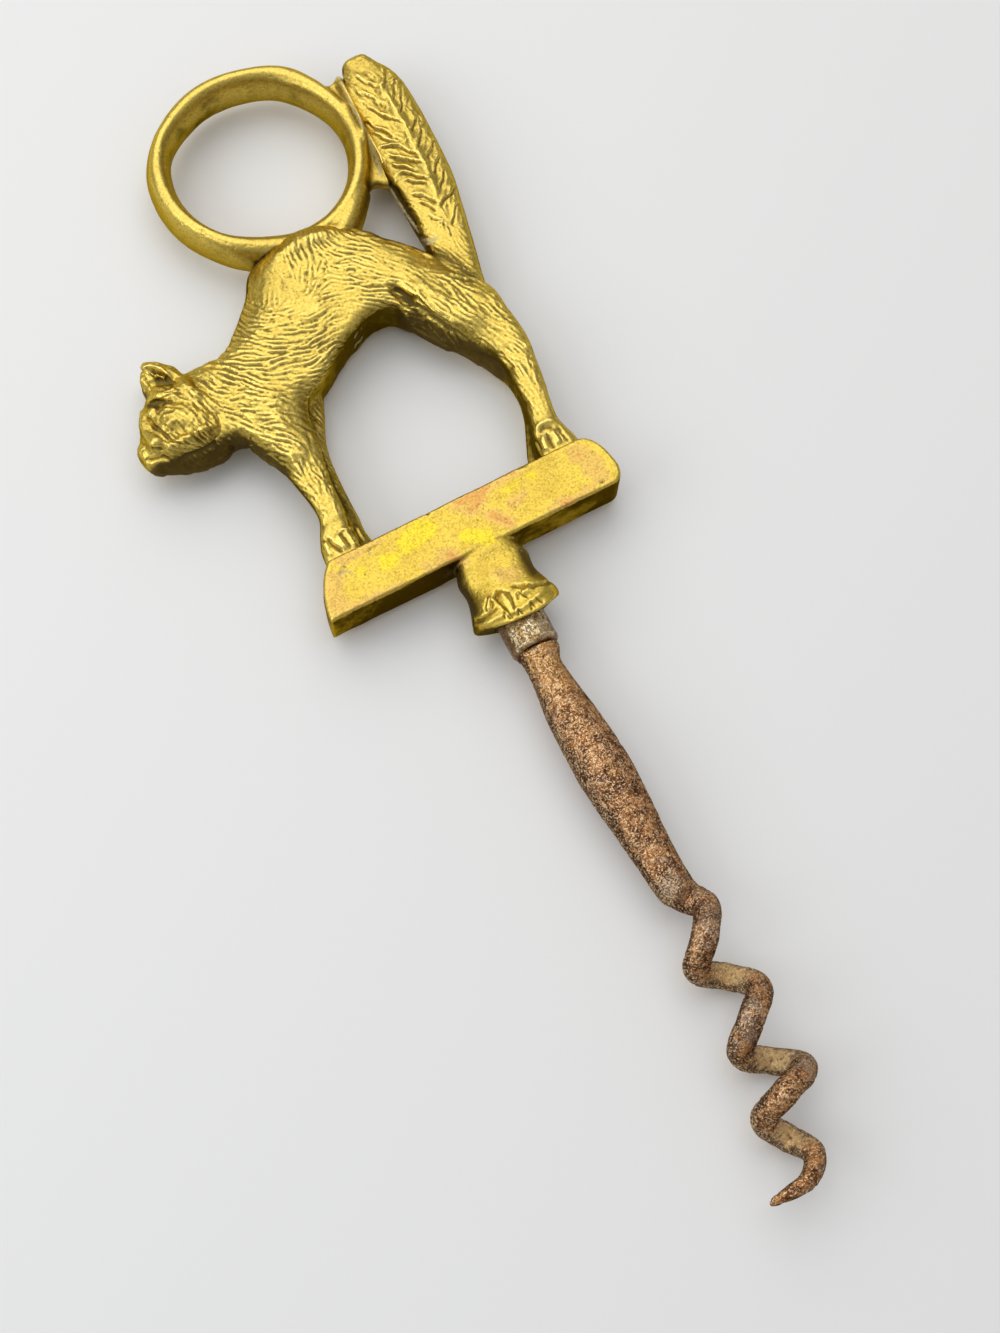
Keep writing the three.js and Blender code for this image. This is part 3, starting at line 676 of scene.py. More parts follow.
# How much a lock bends, the shares that have their lip on one side and on the other, how fast a
# lock deepens at its root and runs out at its tip, and the lip beside it
LOCK_BEND, LOCK_SIDES, ROOT_RISE, TIP_RISE = 0.11, (0.75, 0.25), 5, 1.5
LIP_AWAY, LIP_WIDTH, LIP_HEIGHT = 0.3, 0.18, 0.55
# The fur's grain: its wavelength, how far it is smeared, the step of that, and how many cells of
# the fur's grid share one angle
GRAIN_WAVE, GRAIN_REACH, GRAIN_STEP, GRAIN_SWAY, GRAIN_CELLS = 0.8, 2.4, 0.12, 24.0, 6
GRAIN_STRENGTH = 0.42


def fur_angles(places, ways, seed, sway):
    """The fur's angle at places: the known ways, their angles doubled so that opposite ways are
    alike, blended, halved, and then swayed by a broad noise and a finer one."""
    known = np.array(ways, float)
    double = np.radians(known[:, 2] * 2)
    vector = blended(places, np.column_stack([known[:, :2], np.cos(double), np.sin(double)]))
    sway_at = flat_noise(places, 3.3, seed + 5) + 0.8 * flat_noise(places, 1.3, seed + 6)
    return np.arctan2(vector[:, 1], vector[:, 0]) / 2 + np.radians(sway) * sway_at


def lock_cuts(ways, width, height, seed):
    """Short curved cuts, scattered so that none crowds another, each deep at its root and running
    out at its tip. At v across itself a cut of width w is a furrow -e^(-(v / w)^2) beside a lip
    0.55 e^(-((v - 0.3) / 0.18)^2), and it bends by a share of the distance along it squared."""
    columns, rows = int(width / FUR_CELL), int(height / FUR_CELL)
    draw = np.random.default_rng(seed)
    tries = FUR_CORNER + draw.uniform(0, 1, (LOCK_TRIES, 2)) * (width, height)
    jitter = np.radians(draw.normal(0, LOCK_JITTER, len(tries)))
    angles = fur_angles(tries, ways, seed, LOCK_SWAY) + jitter
    heading = np.stack([np.cos(angles), np.sin(angles)], 1)
    roomy = draw.uniform(*LOCK_ROOM, len(tries))
    kept = []
    for at in range(len(tries)):
        away = tries[kept] - tries[at]
        along = away @ heading[at] / LOCK_APART_ALONG
        aside = (away[:, 1] * heading[at, 0] - away[:, 0] * heading[at, 1]) / LOCK_APART_ACROSS
        if not (along ** 2 + aside ** 2 < roomy[at] ** 2).any():
            kept.append(at)
    total = np.zeros((rows, columns))
    lengths = draw.uniform(*LOCK_LENGTHS, len(tries))
    bends = draw.normal(0, LOCK_BEND, len(tries))
    depths = draw.uniform(*LOCK_DEPTHS, len(tries))
    sides = draw.choice([-1.0, 1.0], len(tries), p=LOCK_SIDES)
    widths = draw.uniform(*LOCK_WIDTHS, len(tries))
    for at in kept:
        column, row = ((tries[at] - FUR_CORNER) / FUR_CELL).astype(int)
        reach = int(lengths[at] / 2 / FUR_CELL) + 8
        left, right = max(column - reach, 0), min(column + reach, columns)
        low, high = max(row - reach, 0), min(row + reach, rows)
        x = (np.arange(left, right) * FUR_CELL + FUR_CORNER[0] - tries[at, 0])[None]
        y = (np.arange(low, high) * FUR_CELL + FUR_CORNER[1] - tries[at, 1])[:, None]
        u = x * heading[at, 0] + y * heading[at, 1]
        v = (y * heading[at, 0] - x * heading[at, 1] - bends[at] * u ** 2) * sides[at]
        run = u / lengths[at] + 0.5
        fade = np.clip(run * ROOT_RISE, 0, 1) * np.clip((1 - run) * TIP_RISE, 0, 1)
        lip = LIP_HEIGHT * np.exp(-((v - LIP_AWAY) / LIP_WIDTH) ** 2)
        cut = lip - np.exp(-(v / widths[at]) ** 2)
        total[low:high, left:right] += depths[at] * fade * cut
    return total


def fur_grain(ways, width, height, seed):
    """Noise of one wavelength smeared along the fur's way, so that it stands in long ridges."""
    columns, rows = int(width / FUR_CELL), int(height / FUR_CELL)
    x, y = np.meshgrid(np.arange(columns), np.arange(rows))
    places = FUR_CORNER + np.stack([x, y], 2).reshape(-1, 2) * FUR_CELL
    sparse = places.reshape(rows, columns, 2)[::GRAIN_CELLS, ::GRAIN_CELLS].reshape(-1, 2)
    angle = fur_angles(sparse, ways, seed, GRAIN_SWAY)
    shape = (-(-rows // GRAIN_CELLS), -(-columns // GRAIN_CELLS))
    cos, sin = (sampled(part.reshape(shape), places, FUR_CORNER, FUR_CELL * GRAIN_CELLS)
                for part in (np.cos(2 * angle), np.sin(2 * angle)))
    angle = np.arctan2(sin, cos) / 2
    way = np.stack([np.cos(angle), np.sin(angle)], 1)
    noise = band_noise((rows, columns), FUR_CELL, GRAIN_WAVE, seed)
    total = noise.reshape(-1).copy()
    grids = [way[:, 0].reshape(rows, columns), way[:, 1].reshape(rows, columns)]
    for side in (1, -1):
        at = places.copy()
        heading = way * side
        for _ in range(int(GRAIN_REACH / 2 / GRAIN_STEP)):
            at = at + heading * GRAIN_STEP
            total += sampled(noise, at, FUR_CORNER, FUR_CELL)
            turn = np.stack([sampled(grid, at, FUR_CORNER, FUR_CELL) for grid in grids], 1)
            turn *= np.sign((turn * heading).sum(1, keepdims=True) + 1e-9)
            heading = turn / np.maximum(np.linalg.norm(turn, axis=1, keepdims=True), 1e-6)
    return (total / total.std()).reshape(rows, columns)


def fur_field(ways, width, height, seed):
    """Carved fur: tanh(cuts + a share of the grain), so its height stays between -1 and 1."""
    cuts = lock_cuts(ways, width, height, seed)
    return np.tanh(cuts + GRAIN_STRENGTH * fur_grain(ways, width, height, seed))


# How high over the middle plane the marks of each piece are read, for seen_place
BODY_LEVEL, TAIL_LEVEL, SEAM_LEVEL, BAR_LEVEL, FLANGE_LEVEL, SOIL_LEVEL = 2.5, 2.0, 1.5, 3.2, 3.8, 2.4


def furred(points, quads, fur, depth):
    """Raises each point by the fur at its place times depth, less where its face turns sideways,
    where the table says so, and in patches."""
    places = seen_place(points, BODY_LEVEL)
    strength = np.clip(blended(places, fur_strengths, 4.0)[:, 0], 0, 1)
    patchy = 0.8 + 0.5 * flat_noise(places, 2.7, 12)
    normal = normals_of(soften(points, quads, 4), quads)
    facing = step_between(0.12, 0.6, np.abs(normal[:, 2]))
    height = sampled(fur, places, FUR_CORNER, FUR_CELL) * depth * strength * facing * patchy
    return points + normal * height[:, None]


def modelled(points, level, forms):
    """Swells or sinks the broad faces: each point's height over the middle plane is multiplied by
    e^(brushed height / 3)."""
    lift = brushed(seen_place(points, level), forms)
    points = points.copy()
    points[:, 2] = MID + (points[:, 2] - MID) * np.exp(lift / 3)
    return points


def carved(points, quads, level, strokes, strength=1.0, waver=0.0):
    """Moves each point along its normal by the brush strokes that are seen at its place, times
    strength, the place swayed by noise as far as waver. Points that face sideways move less."""
    normal = normals_of(points, quads)
    facing = step_between(0.05, 0.45, np.abs(normal[:, 2]))
    places = seen_place(points, level)
    if waver:
        sway = [flat_noise(places, 1.4, seed) for seed in (91, 92)]
        places = places + waver * np.stack(sway, 1)
    height = brushed(places, strokes) * facing * strength
    return points + normal * height[:, None]


def with_lips(strokes, above, share):
    """Strokes, each groove among them with a rounded lip that lies that far above it and is a
    share of its depth high."""
    return strokes + [[-share * amount, radius * 1.4, (np.reshape(line, (-1, 2)) + (0, above)).tolist()]
                      for amount, radius, line in strokes if amount < 0]


def recess_of(points, quads):
    """How deep each point lies below its neighbours and below a softened skin, in millimetres:
    the first tells fine furrows and the second wide ones."""
    degree = np.maximum(spread(quads, np.ones(len(points))), 1)
    normal = normals_of(points, quads)
    fine = ((spread(quads, points) / degree[:, None] - points) * normal).sum(1)
    fine = (fine + spread(quads, fine) / degree) / 2
    smooth = soften(points, quads, 14)
    wide = ((smooth - points) * normal).sum(1)
    return fine, wide


MOST_TRIANGLES = 196000
BOX_MARGIN = 0.02  # how far inside the CAD box every point stays


def finish_piece(name, points, quads, material, replaced, marks):
    """Puts a piece's points in the scene with its marks, its finish and its place."""
    lowest, highest = (np.array(corner) / MM for corner in cad_box)
    points = np.clip(points, lowest + BOX_MARGIN, highest - BOX_MARGIN)
    mesh = bpy.data.meshes.new(name)
    mesh.vertices.add(len(points))
    mesh.vertices.foreach_set("co", (points * MM).astype(np.float32).ravel())
    sides = quads.shape[1]
    mesh.loops.add(quads.size)
    mesh.loops.foreach_set("vertex_index", quads.astype(np.int32).ravel())
    mesh.polygons.add(len(quads))
    mesh.polygons.foreach_set("loop_start", np.arange(0, quads.size, sides, dtype=np.int32))
    mesh.update(calc_edges=True)
    mesh.validate()
    mesh.shade_smooth()
    for label, values in marks.items():
        attribute = mesh.attributes.new(label, "FLOAT", "POINT")
        attribute.data.foreach_set("value", values.astype(np.float32))
    mesh.materials.append(material)
    made = bpy.data.objects.new(name, mesh)
    bpy.context.scene.collection.objects.link(made)
    if len(quads) * 2 > MOST_TRIANGLES:
        thin = made.modifiers.new("thin", "DECIMATE")
        thin.ratio = MOST_TRIANGLES / (len(quads) * 2)
        made.data = bpy.data.meshes.new_from_object(
            made.evaluated_get(bpy.context.evaluated_depsgraph_get()))
        made.modifiers.clear()
        made.data.shade_smooth()
    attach(made, "root")
    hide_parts(replaced)


# Dark soil together with painted shade where shade falls: jaw, throat, the wall under the haunch,
# the tail's root, the corners of ear and eye, beside the seam and at the sides of the boss
grime_and_shade_marks = [
    [1.5, 1.15, [-33.6, 24.6, -31.0, 24.4, -28.0, 24.2, -25.0, 24.3, -22.4, 24.8]],
    [1.4, 1.0, [-33.0, 23.2, -28.0, 22.4, -22.4, 23.0]],
    [1.1, 1.15, [-21.8, 24.4, -20.4, 22.4, -19.2, 20.0, -18.4, 17.4]],
    [1.6, 1.45, [5.2, 31.0, 6.7, 29.3, 8.2, 26.7, 9.8, 24.0, 11.3, 21.4, 12.2, 18.8, 12.5, 15.0]],
    [1.0, 0.6, [6.6, 34.6, 7.1, 32.8, 7.4, 31.2]],
    [0.7, 1.5, [13.8, 37.2, 15.2, 34.8, 16.0, 32.0]], [0.6, 0.5, [-17.3, 14.0, -17.3, 9.0]],
    [0.9, 0.5, [-29.3, 37.6, -29.2, 36.4]], [0.3, 0.7, [-23.4, 36.0, -22.8, 34.4, -22.2, 33.2]],
    [0.8, 0.45, [-29.6, 33.5, -28.8, 33.0]], [0.8, 0.45, [-27.0, 37.2, -26.3, 36.0]],
    [1.1, 1.1, [-5.6, -5.2, -5.4, -7.4, -5.3, -10.2]], [0.9, 0.7, [4.0, -5.0, 3.9, -7.2, 4.0, -10.0]],
    [0.9, 0.6, [12.7, 49.6, 12.9, 46.0, 13.1, 42.0]], [0.5, 0.7, [14.6, -14.0]],
    [0.6, 0.4, [-9.4, 45.7, -6.8, 46.9, -4.2, 47.8]], [0.5, 0.35, [2.6, 47.7, 4.4, 46.6, 6.0, 45.3]],
]
# Chalky residue of solder and polish, in seams and on a few high spots
chalk_marks = [
    [1.0, 0.42, [11.6, 70.0, 12.6, 68.7, 13.8, 68.1, 15.0, 67.6]],
    [1.0, 0.36, [14.3, 68.4, 14.0, 66.0, 13.8, 64.0, 13.7, 60.0, 13.6, 57.0]],
    [1.05, 0.42, [13.6, 57.4, 13.3, 55.0, 12.9, 52.6, 12.2, 50.3]],
    [1.1, 0.3, [12.6, 49.6, 12.6, 48.0, 12.7, 45.0, 12.9, 42.5, 13.1, 40.3]],
    [1.0, 0.55, [13.1, 39.6, 14.0, 39.3]], [0.8, 0.3, [12.5, 38.8, 14.2, 38.9, 15.6, 39.6]],
    [0.9, 0.34, [18.6, 39.4]], [0.7, 0.2, [15.5, 62.3, 16.2, 61.2, 17.0, 60.6]],
    [0.7, 0.3, [14.7, 67.4]], [0.7, 0.16, [14.3, 59.6, 14.9, 58.2, 15.4, 57.2]],
    [0.7, 0.2, [16.9, 64.9, 18.0, 63.9]], [0.6, 0.2, [21.2, 55.9]],
    [0.7, 0.18, [18.3, 51.2, 19.3, 52.0]], [0.9, 0.4, [18.0, 21.2]],
    [0.8, 0.26, [-2.0, 30.3, -0.8, 31.2, 0.2, 31.6]],
    [0.5, 0.25, [5.4, 30.6, 6.6, 28.8]], [0.6, 0.26, [3.4, 47.9, 4.8, 47.9]],
    [0.6, 0.3, [-8.6, 46.4, -6.4, 47.4, -4.4, 48.0]],
    [0.45, 0.2, [-23.6, 36.3, -22.4, 35.6, -20.6, 35.3, -19.0, 35.8]],
    [0.9, 0.32, [-18.0, 1.3, -17.3, 1.8, -16.8, 1.3]],
    [0.8, 0.22, [-13.8, 2.2, -12.4, 2.6, -11.2, 2.3]],
    [0.7, 0.35, [4.0, -5.8, 5.4, -5.2]], [0.6, 0.3, [-9.5, -5.2, -8.8, -5.0]],
    [0.8, 0.2, [-12.6, 12.5, -12.4, 9.5, -12.2, 6.5]],
    [0.7, 0.22, [-11.6, 22.0, -12.2, 18.5, -12.6, 15.0]],
    [0.8, 0.3, [-15.9, 7.6]], [0.7, 0.26, [-14.3, 5.0]],
    [0.8, 0.28, [14.0, 6.5, 14.2, 7.6]], [0.7, 0.24, [15.9, 7.9]],
]


def furrow_marks(points, quads, fine_scale=0.02, wide_scale=0.12, flat=True, least=0.0):
    """Marks for the finish, each from 0 to 1: how hollow it is here, by the fine and the wide
    depth over their scales, how raised, how much hands reach it and light falls on it, which on a
    flat piece is more on the two broad faces than on the sides between them, so that the sides
    turned from the light take painted shade, and where chalk sits and where soil and painted shade lie."""
    fine, wide = recess_of(points, quads)
    hollow = np.clip(0.6 * fine / fine_scale + 0.6 * wide / wide_scale, 0, 1)
    worn = np.clip(-0.6 * fine / fine_scale - 0.5 * wide / wide_scale, 0, 1)
    facing = np.abs(normals_of(soften(points, quads, 10), quads)[:, 2])
    # Faces turned sideways get low values here: painted shade on the sides, partly real patina where
    # hands don't reach.
    reached_and_lit = step_between(0.22, 0.8, facing)
    if flat:
        reached_and_lit = reached_and_lit * step_between(-0.4, 1.9, np.abs(points[:, 2] - MID))
    places = seen_place(points, SOIL_LEVEL)
    # The grime marks are painted shade with some dirt; they also lower the rubbed mark.
    chalk, grime_and_shade = (np.clip(brushed(places, table), 0, 1) for table in (chalk_marks, grime_and_shade_marks))
    reached_and_lit = (least + (1 - least) * reached_and_lit) * (1 - 0.8 * grime_and_shade)
    return {"hollow": hollow, "worn": worn, "rubbed_and_lit": reached_and_lit, "chalk": chalk, "grime_and_shade": grime_and_shade}


# The cat

# Broad forms of the head, swelled or sunk: height, radius and the line they follow
head_forms = [
    [0.6, 2.0, [-26.6, 30.2]], [0.5, 1.5, [-24.8, 28.4]], [0.5, 1.2, [-28.4, 29.8]],
    [0.7, 0.9, [-29.4, 26.9, -27.0, 26.7, -24.0, 26.8]],
    [1.0, 1.15, [-31.2, 28.1]], [0.35, 0.8, [-31.7, 29.4]],
    [0.7, 0.9, [-28.0, 34.4, -26.2, 33.8]], [0.4, 0.9, [-25.1, 36.6, -24.2, 34.2, -23.4, 32.2]],
    [-0.8, 0.5, [-30.3, 33.4, -29.2, 33.6, -28.2, 33.2]], [-0.5, 0.4, [-30.2, 31.9, -30.1, 30.6]],
    [-1.0, 0.8, [-23.9, 37.6, -22.7, 34.8, -21.4, 32.2, -20.9, 30.2]],
    [-1.1, 0.9, [-33.0, 24.6, -30.6, 24.2, -28.0, 24.0, -25.0, 24.1, -22.4, 24.5]],
    [-1.6, 1.0, [-32.4, 23.2, -28.0, 22.6, -22.4, 23.2]],
    [-0.7, 0.6, [-28.6, 36.1, -26.8, 35.9, -25.4, 35.6]],
]
# Carved marks on the head
head_strokes = [
    # brow crease, eye and the lids round it
    [-0.36, 0.3, [-30.3, 33.3, -29.4, 33.75, -28.6, 33.65, -27.8, 33.2, -27.0, 33.0, -26.3, 32.5]],
    [-0.2, 0.3, [-29.4, 33.4, -28.6, 33.3]],
    [0.3, 0.42, [-29.9, 32.3, -29.2, 32.7]],
    [-0.26, 0.2, [-29.0, 32.2, -28.7, 32.6, -28.1, 32.55]],
    [0.18, 0.2, [-28.3, 32.1, -27.5, 32.0, -26.8, 31.7]],
    [-0.16, 0.16, [-28.6, 31.8, -27.8, 31.7, -27.0, 31.3]],
    [0.16, 0.25, [-28.4, 31.3, -27.4, 31.2, -26.7, 31.4]],
    # muzzle, and the bridge of the nose
    [0.42, 0.85, [-31.2, 28.4]], [0.2, 0.5, [-31.6, 29.4]],
    [0.32, 0.5, [-30.9, 33.0, -31.2, 31.6, -31.6, 30.2]],
    [-0.22, 0.2, [-30.1, 31.4, -30.0, 30.2, -29.7, 29.4, -29.1, 28.3, -28.4, 27.1, -27.8, 26.1]],
    [0.16, 0.22, [-29.6, 31.0, -29.5, 30.0, -29.1, 29.0, -28.5, 27.9]],
    # whisker lines and the muzzle
    [-0.14, 0.15, [-29.4, 30.2, -28.9, 28.9, -28.3, 27.8, -27.7, 27.0]],
    [-0.12, 0.14, [-29.9, 28.3, -29.5, 27.5, -28.8, 26.6]],
    [-0.1, 0.13, [-29.0, 30.4, -28.4, 29.3, -28.0, 28.6]],
    [-0.2, 0.2, [-31.5, 27.8, -31.0, 27.5, -30.7, 27.1]],
    [-0.16, 0.2, [-32.9, 29.2, -32.4, 28.6, -32.6, 27.8]],
    [-0.3, 0.26, [-33.0, 26.6, -32.0, 26.3, -30.9, 25.9, -30.2, 25.3]],
    # brow plateau
    [-0.12, 0.16, [-27.2, 33.7, -26.0, 33.7, -24.9, 33.2]],
    [-0.12, 0.16, [-28.5, 35.1, -27.2, 34.9, -25.8, 34.9]],
    [-0.1, 0.14, [-27.0, 34.4, -26.0, 34.3, -25.0, 33.9]],
    # cheek's lower border and the uneven gashes above it
    [-0.24, 0.4, [-30.4, 24.9, -28.2, 24.7, -26.4, 24.7, -25.0, 24.8, -23.4, 25.0, -21.8, 25.3]],
    [-0.3, 0.15, [-26.6, 27.9, -26.3, 26.9, -25.6, 25.5]],
    [-0.34, 0.2, [-25.3, 27.6, -25.3, 26.6, -25.0, 25.5]],
    [-0.2, 0.13, [-24.8, 27.0, -24.6, 26.2]],
    [-0.26, 0.16, [-24.0, 28.2, -23.6, 27.2, -23.4, 26.4]],
    [-0.2, 0.13, [-27.6, 26.9, -27.2, 26.0]],
    [-0.28, 0.2, [-22.2, 28.6, -22.1, 27.4, -21.4, 26.6]],
    [0.16, 0.2, [-25.8, 27.4, -25.5, 26.4]], [0.16, 0.2, [-23.2, 28.4, -22.9, 27.2]],
    # ruff behind the cheek
    [-0.34, 0.28, [-22.7, 33.6, -21.9, 32.3, -21.3, 31.3, -20.9, 30.2, -20.8, 29.2]],
    [-0.24, 0.26, [-21.2, 27.7, -21.8, 26.9, -22.2, 26.0]],
    [-0.14, 0.18, [-24.4, 31.6, -23.9, 30.4, -23.6, 29.3]],
    [-0.14, 0.18, [-23.4, 31.0, -22.9, 29.9, -22.7, 29.0]],
    [0.14, 0.3, [-22.2, 32.6, -21.5, 31.2, -21.2, 29.8]],
]
ear_strokes = [
    [0.34, 0.22, [-28.3, 38.9, -27.0, 38.6, -26.0, 37.6, -25.4, 36.2, -25.1, 35.2]],
    [-0.62, 0.28, [-27.4, 38.1, -26.6, 37.6, -26.1, 36.8, -25.8, 35.9, -25.6, 35.3]],
    [-0.55, 0.7, [-27.5, 37.4, -27.0, 36.6]],
    [-0.45, 0.4, [-27.2, 36.2, -26.2, 35.8]],
    [0.2, 0.13, [-28.0, 38.2, -27.5, 36.8]],
    [0.18, 0.12, [-27.4, 38.0, -27.0, 36.9]],
    [0.16, 0.12, [-26.9, 37.7, -26.7, 37.0]],
    [0.24, 0.3, [-28.6, 38.7, -28.3, 37.6, -28.2, 36.8]],
    [-0.2, 0.3, [-29.0, 36.9, -28.7, 36.3]],
]
# Broad forms of the body
body_forms = [
    [-4.2, 1.25, [5.8, 30.8, 6.9, 28.8, 8.2, 26.4, 9.7, 23.9, 11.2, 21.4]],
    [-0.8, 0.8, [6.4, 34.4, 7.0, 32.4]], [-1.0, 0.7, [12.2, 21.4, 12.6, 19.4]],
    [0.5, 1.6, [9.4, 33.0, 11.2, 29.6, 13.4, 26.2]],
    [-0.8, 2.0, [12.6, 38.0, 15.6, 34.6, 17.4, 31.0]],
    [-0.6, 1.8, [-14.6, 39.6, -11.6, 43.0, -9.8, 45.6]],
    [0.5, 2.6, [-5.0, 37.0]],
    [0.5, 2.2, [-15.6, 27.4]],
    [-2.4, 1.1, [-22.2, 25.0, -20.8, 23.2, -19.6, 21.0, -18.7, 18.8, -18.1, 16.4]],
    [0.6, 2.0, [-16.2, 24.0, -15.4, 19.6]],
    [-0.5, 1.2, [-10.2, 27.0, -11.0, 24.6, -11.6, 22.2]],
    [0.5, 1.2, [-7.5, 45.5, -2.0, 46.6, 3.5, 46.0]],
]
body_strokes = [
    # the belly's rim and the fold where the haunch lies over it
    [0.3, 0.6, [-1.8, 31.4, 0.6, 32.2, 2.8, 32.6, 4.8, 32.4]],
    [-0.3, 0.35, [6.0, 36.0, 6.9, 33.8, 7.6, 31.6, 8.6, 29.2, 9.9, 26.8, 11.5, 24.0]],
    [0.24, 0.6, [7.4, 35.4, 8.8, 32.0, 10.2, 28.8, 12.0, 25.6]],
    # fold in front of the shoulder and the two under the hump
    [-0.16, 0.5, [-21.2, 27.6, -19.4, 25.8, -18.2, 23.4]],
    [-0.14, 0.45, [-12.8, 38.6, -11.4, 36.6, -10.6, 34.8]],
    [-0.12, 0.4, [-3.4, 42.8, -2.4, 41.0, -0.6, 39.6]],
    # hock and the hollow in front of it
    [0.24, 0.6, [17.9, 19.4]],
    [-0.16, 0.5, [14.2, 20.6, 14.6, 18.6, 14.4, 16.4]],
    # near fore paw: two toes, the hollows round them and a third toe behind
    [-0.12, 0.5, [-16.8, 8.4, -15.4, 8.1, -13.8, 8.3]],
    [0.36, 0.5, [-15.85, 6.0, -15.75, 4.7]], [0.24, 0.36, [-14.5, 6.3, -14.4, 4.5]],
    [-0.34, 0.19, [-15.35, 6.6, -15.1, 5.6, -15.05, 4.2]],
    [-0.4, 0.26, [-17.2, 6.8, -17.0, 5.6, -16.6, 4.8, -16.2, 4.1]],
    [-0.26, 0.14, [-14.4, 6.2, -14.15, 5.5, -14.2, 4.6]],
    [0.2, 0.2, [-15.6, 6.5, -14.9, 6.8, -14.1, 6.6, -13.8, 6.0]],
    [-0.2, 0.2, [-13.4, 6.4, -13.3, 4.3]], [0.25, 0.3, [-17.7, 6.0, -17.8, 4.6]],
    # hind paw: an arch over two toes
    [0.22, 0.34, [12.9, 7.0, 13.8, 8.5, 15.2, 8.8, 16.4, 8.2]],
    [-0.18, 0.3, [13.4, 7.6, 14.4, 7.9, 15.6, 7.7]],
    [0.34, 0.45, [13.6, 6.6, 13.4, 5.3]], [0.36, 0.42, [15.3, 6.9, 15.2, 5.4]],
    [-0.34, 0.2, [14.4, 7.2, 14.3, 6.0, 14.4, 4.8]], [-0.26, 0.18, [16.2, 7.4, 16.2, 6.2, 16.5, 5.0]],
    [-0.2, 0.15, [15.5, 6.9, 15.7, 6.0, 15.5, 5.2]], [-0.22, 0.2, [12.6, 6.8, 12.6, 5.4]],
]
tail_forms = [
    [-2.0, 0.6, [12.9, 50.0, 13.1, 46.0, 13.2, 42.0]], [0.5, 1.0, [18.9, 66.0, 18.6, 52.0, 17.6, 43.0]],
    [-0.5, 1.0, [15.4, 68.6]], [-0.5, 0.8, [20.6, 68.0]],
]
tail_strokes = [
    [0.22, 0.6, [18.9, 66.2, 18.9, 60.0, 18.7, 52.0, 18.0, 48.0, 17.6, 44.0, 17.0, 40.0]],
    [-0.3, 0.24, [16.2, 67.4, 17.2, 65.4, 18.6, 63.8]],
    [-0.3, 0.24, [15.2, 65.4, 16.3, 63.2, 17.8, 60.4]],
    [-0.26, 0.22, [14.8, 63.6, 15.7, 61.6, 16.7, 60.2, 17.6, 58.9]],
    [-0.3, 0.24, [14.2, 60.2, 15.2, 58.2, 16.4, 56.9, 17.1, 55.7]],
    [-0.22, 0.2, [17.2, 59.8, 18.0, 58.5, 18.6, 57.3]],
    [-0.26, 0.22, [14.2, 57.8, 15.2, 56.6, 16.7, 55.0]],
    [-0.3, 0.24, [14.4, 55.2, 16.2, 54.5, 17.4, 53.4, 18.4, 52.3]],
    [-0.28, 0.22, [14.5, 53.4, 16.0, 52.6, 17.2, 51.5, 18.2, 50.3]],
    [-0.24, 0.2, [14.5, 52.0, 15.9, 51.2, 17.2, 50.0]],
    [-0.3, 0.24, [14.7, 50.2, 16.5, 49.6, 17.4, 48.6, 18.1, 47.2]],
    [-0.24, 0.2, [14.9, 48.8, 16.2, 48.2, 17.4, 47.3]],
    [-0.28, 0.22, [14.9, 46.8, 16.3, 45.8, 17.4, 44.0]],
    [-0.22, 0.2, [15.2, 45.0, 16.2, 44.2, 17.0, 42.9]],
    [-0.22, 0.2, [15.4, 43.2, 16.1, 42.2, 16.8, 41.2, 16.4, 40.0]],
    [-0.2, 0.2, [16.2, 41.6, 16.9, 40.2, 16.5, 38.8]],
    [-0.28, 0.24, [20.5, 66.6, 20.0, 64.8, 19.2, 63.4]],
    [-0.24, 0.22, [20.9, 64.2, 20.3, 62.4, 19.6, 61.2]],
    [-0.28, 0.24, [21.0, 61.8, 20.2, 60.2, 19.4, 59.0]],
    [-0.28, 0.24, [21.3, 58.4, 20.3, 56.8, 19.4, 55.6]],
    [-0.28, 0.24, [21.2, 56.0, 20.3, 54.5, 19.3, 53.2]],
    [-0.24, 0.22, [21.2, 53.2, 20.3, 51.8, 19.5, 50.8]],
    [-0.28, 0.24, [21.0, 51.0, 20.2, 49.6, 19.2, 48.2]],
    [-0.26, 0.22, [20.8, 48.2, 19.8, 46.8, 18.8, 45.8]],
    [-0.26, 0.22, [20.6, 45.4, 19.2, 44.6, 17.9, 43.4]],
    [-0.22, 0.2, [19.8, 42.6, 18.8, 41.8, 17.9, 40.4]],
]
# The four legs: stations, how far they are shifted, and whether they lie on the far side
legs = [(foreleg_shares, FORELEG_STEP_SHARE, True), (near_foreleg_shares, 0.0, False),
        (near_hind_leg_shares, 0.0, False), (far_hind_leg_shares, 0.0, False)]


def pitted(points, quads, seed, depth, size=0.55, share=0.35):
    """Casting skin: each point sinks by depth where noise passes the share, over a faint
    unevenness."""
    normal = normals_of(points, quads)
    grain = layered_noise(points, size, seed, 2)
    pits = step_between(share, share + 0.45, grain)
    uneven = layered_noise(points, 3.5, seed + 9, 3)
    return points + normal * (0.05 * uneven - depth * pits)[:, None]


def make_body(material, fur):
    """Torso and four legs, one skin, with the creases where they meet filled and fur carved in."""
    shells = [torso_shell()]
    shells += [limb(rows, shift, flip, sides=48, roundness=0.8)
               for rows, shift, flip in legs]
    points, quads = melted(shells, coarse=0.42, fine=0.165, rounds=26)
    points = modelled(points, BODY_LEVEL, body_forms)
    points = carved(points, quads, BODY_LEVEL, body_strokes, waver=0.1)
    points = furred(points, quads, fur, depth=0.2)
    points = pitted(points, quads, seed=21, depth=0.045)
    marks = furrow_marks(points, quads)
    finish_piece("cat_body", points, quads, material, "cat_handle", marks)


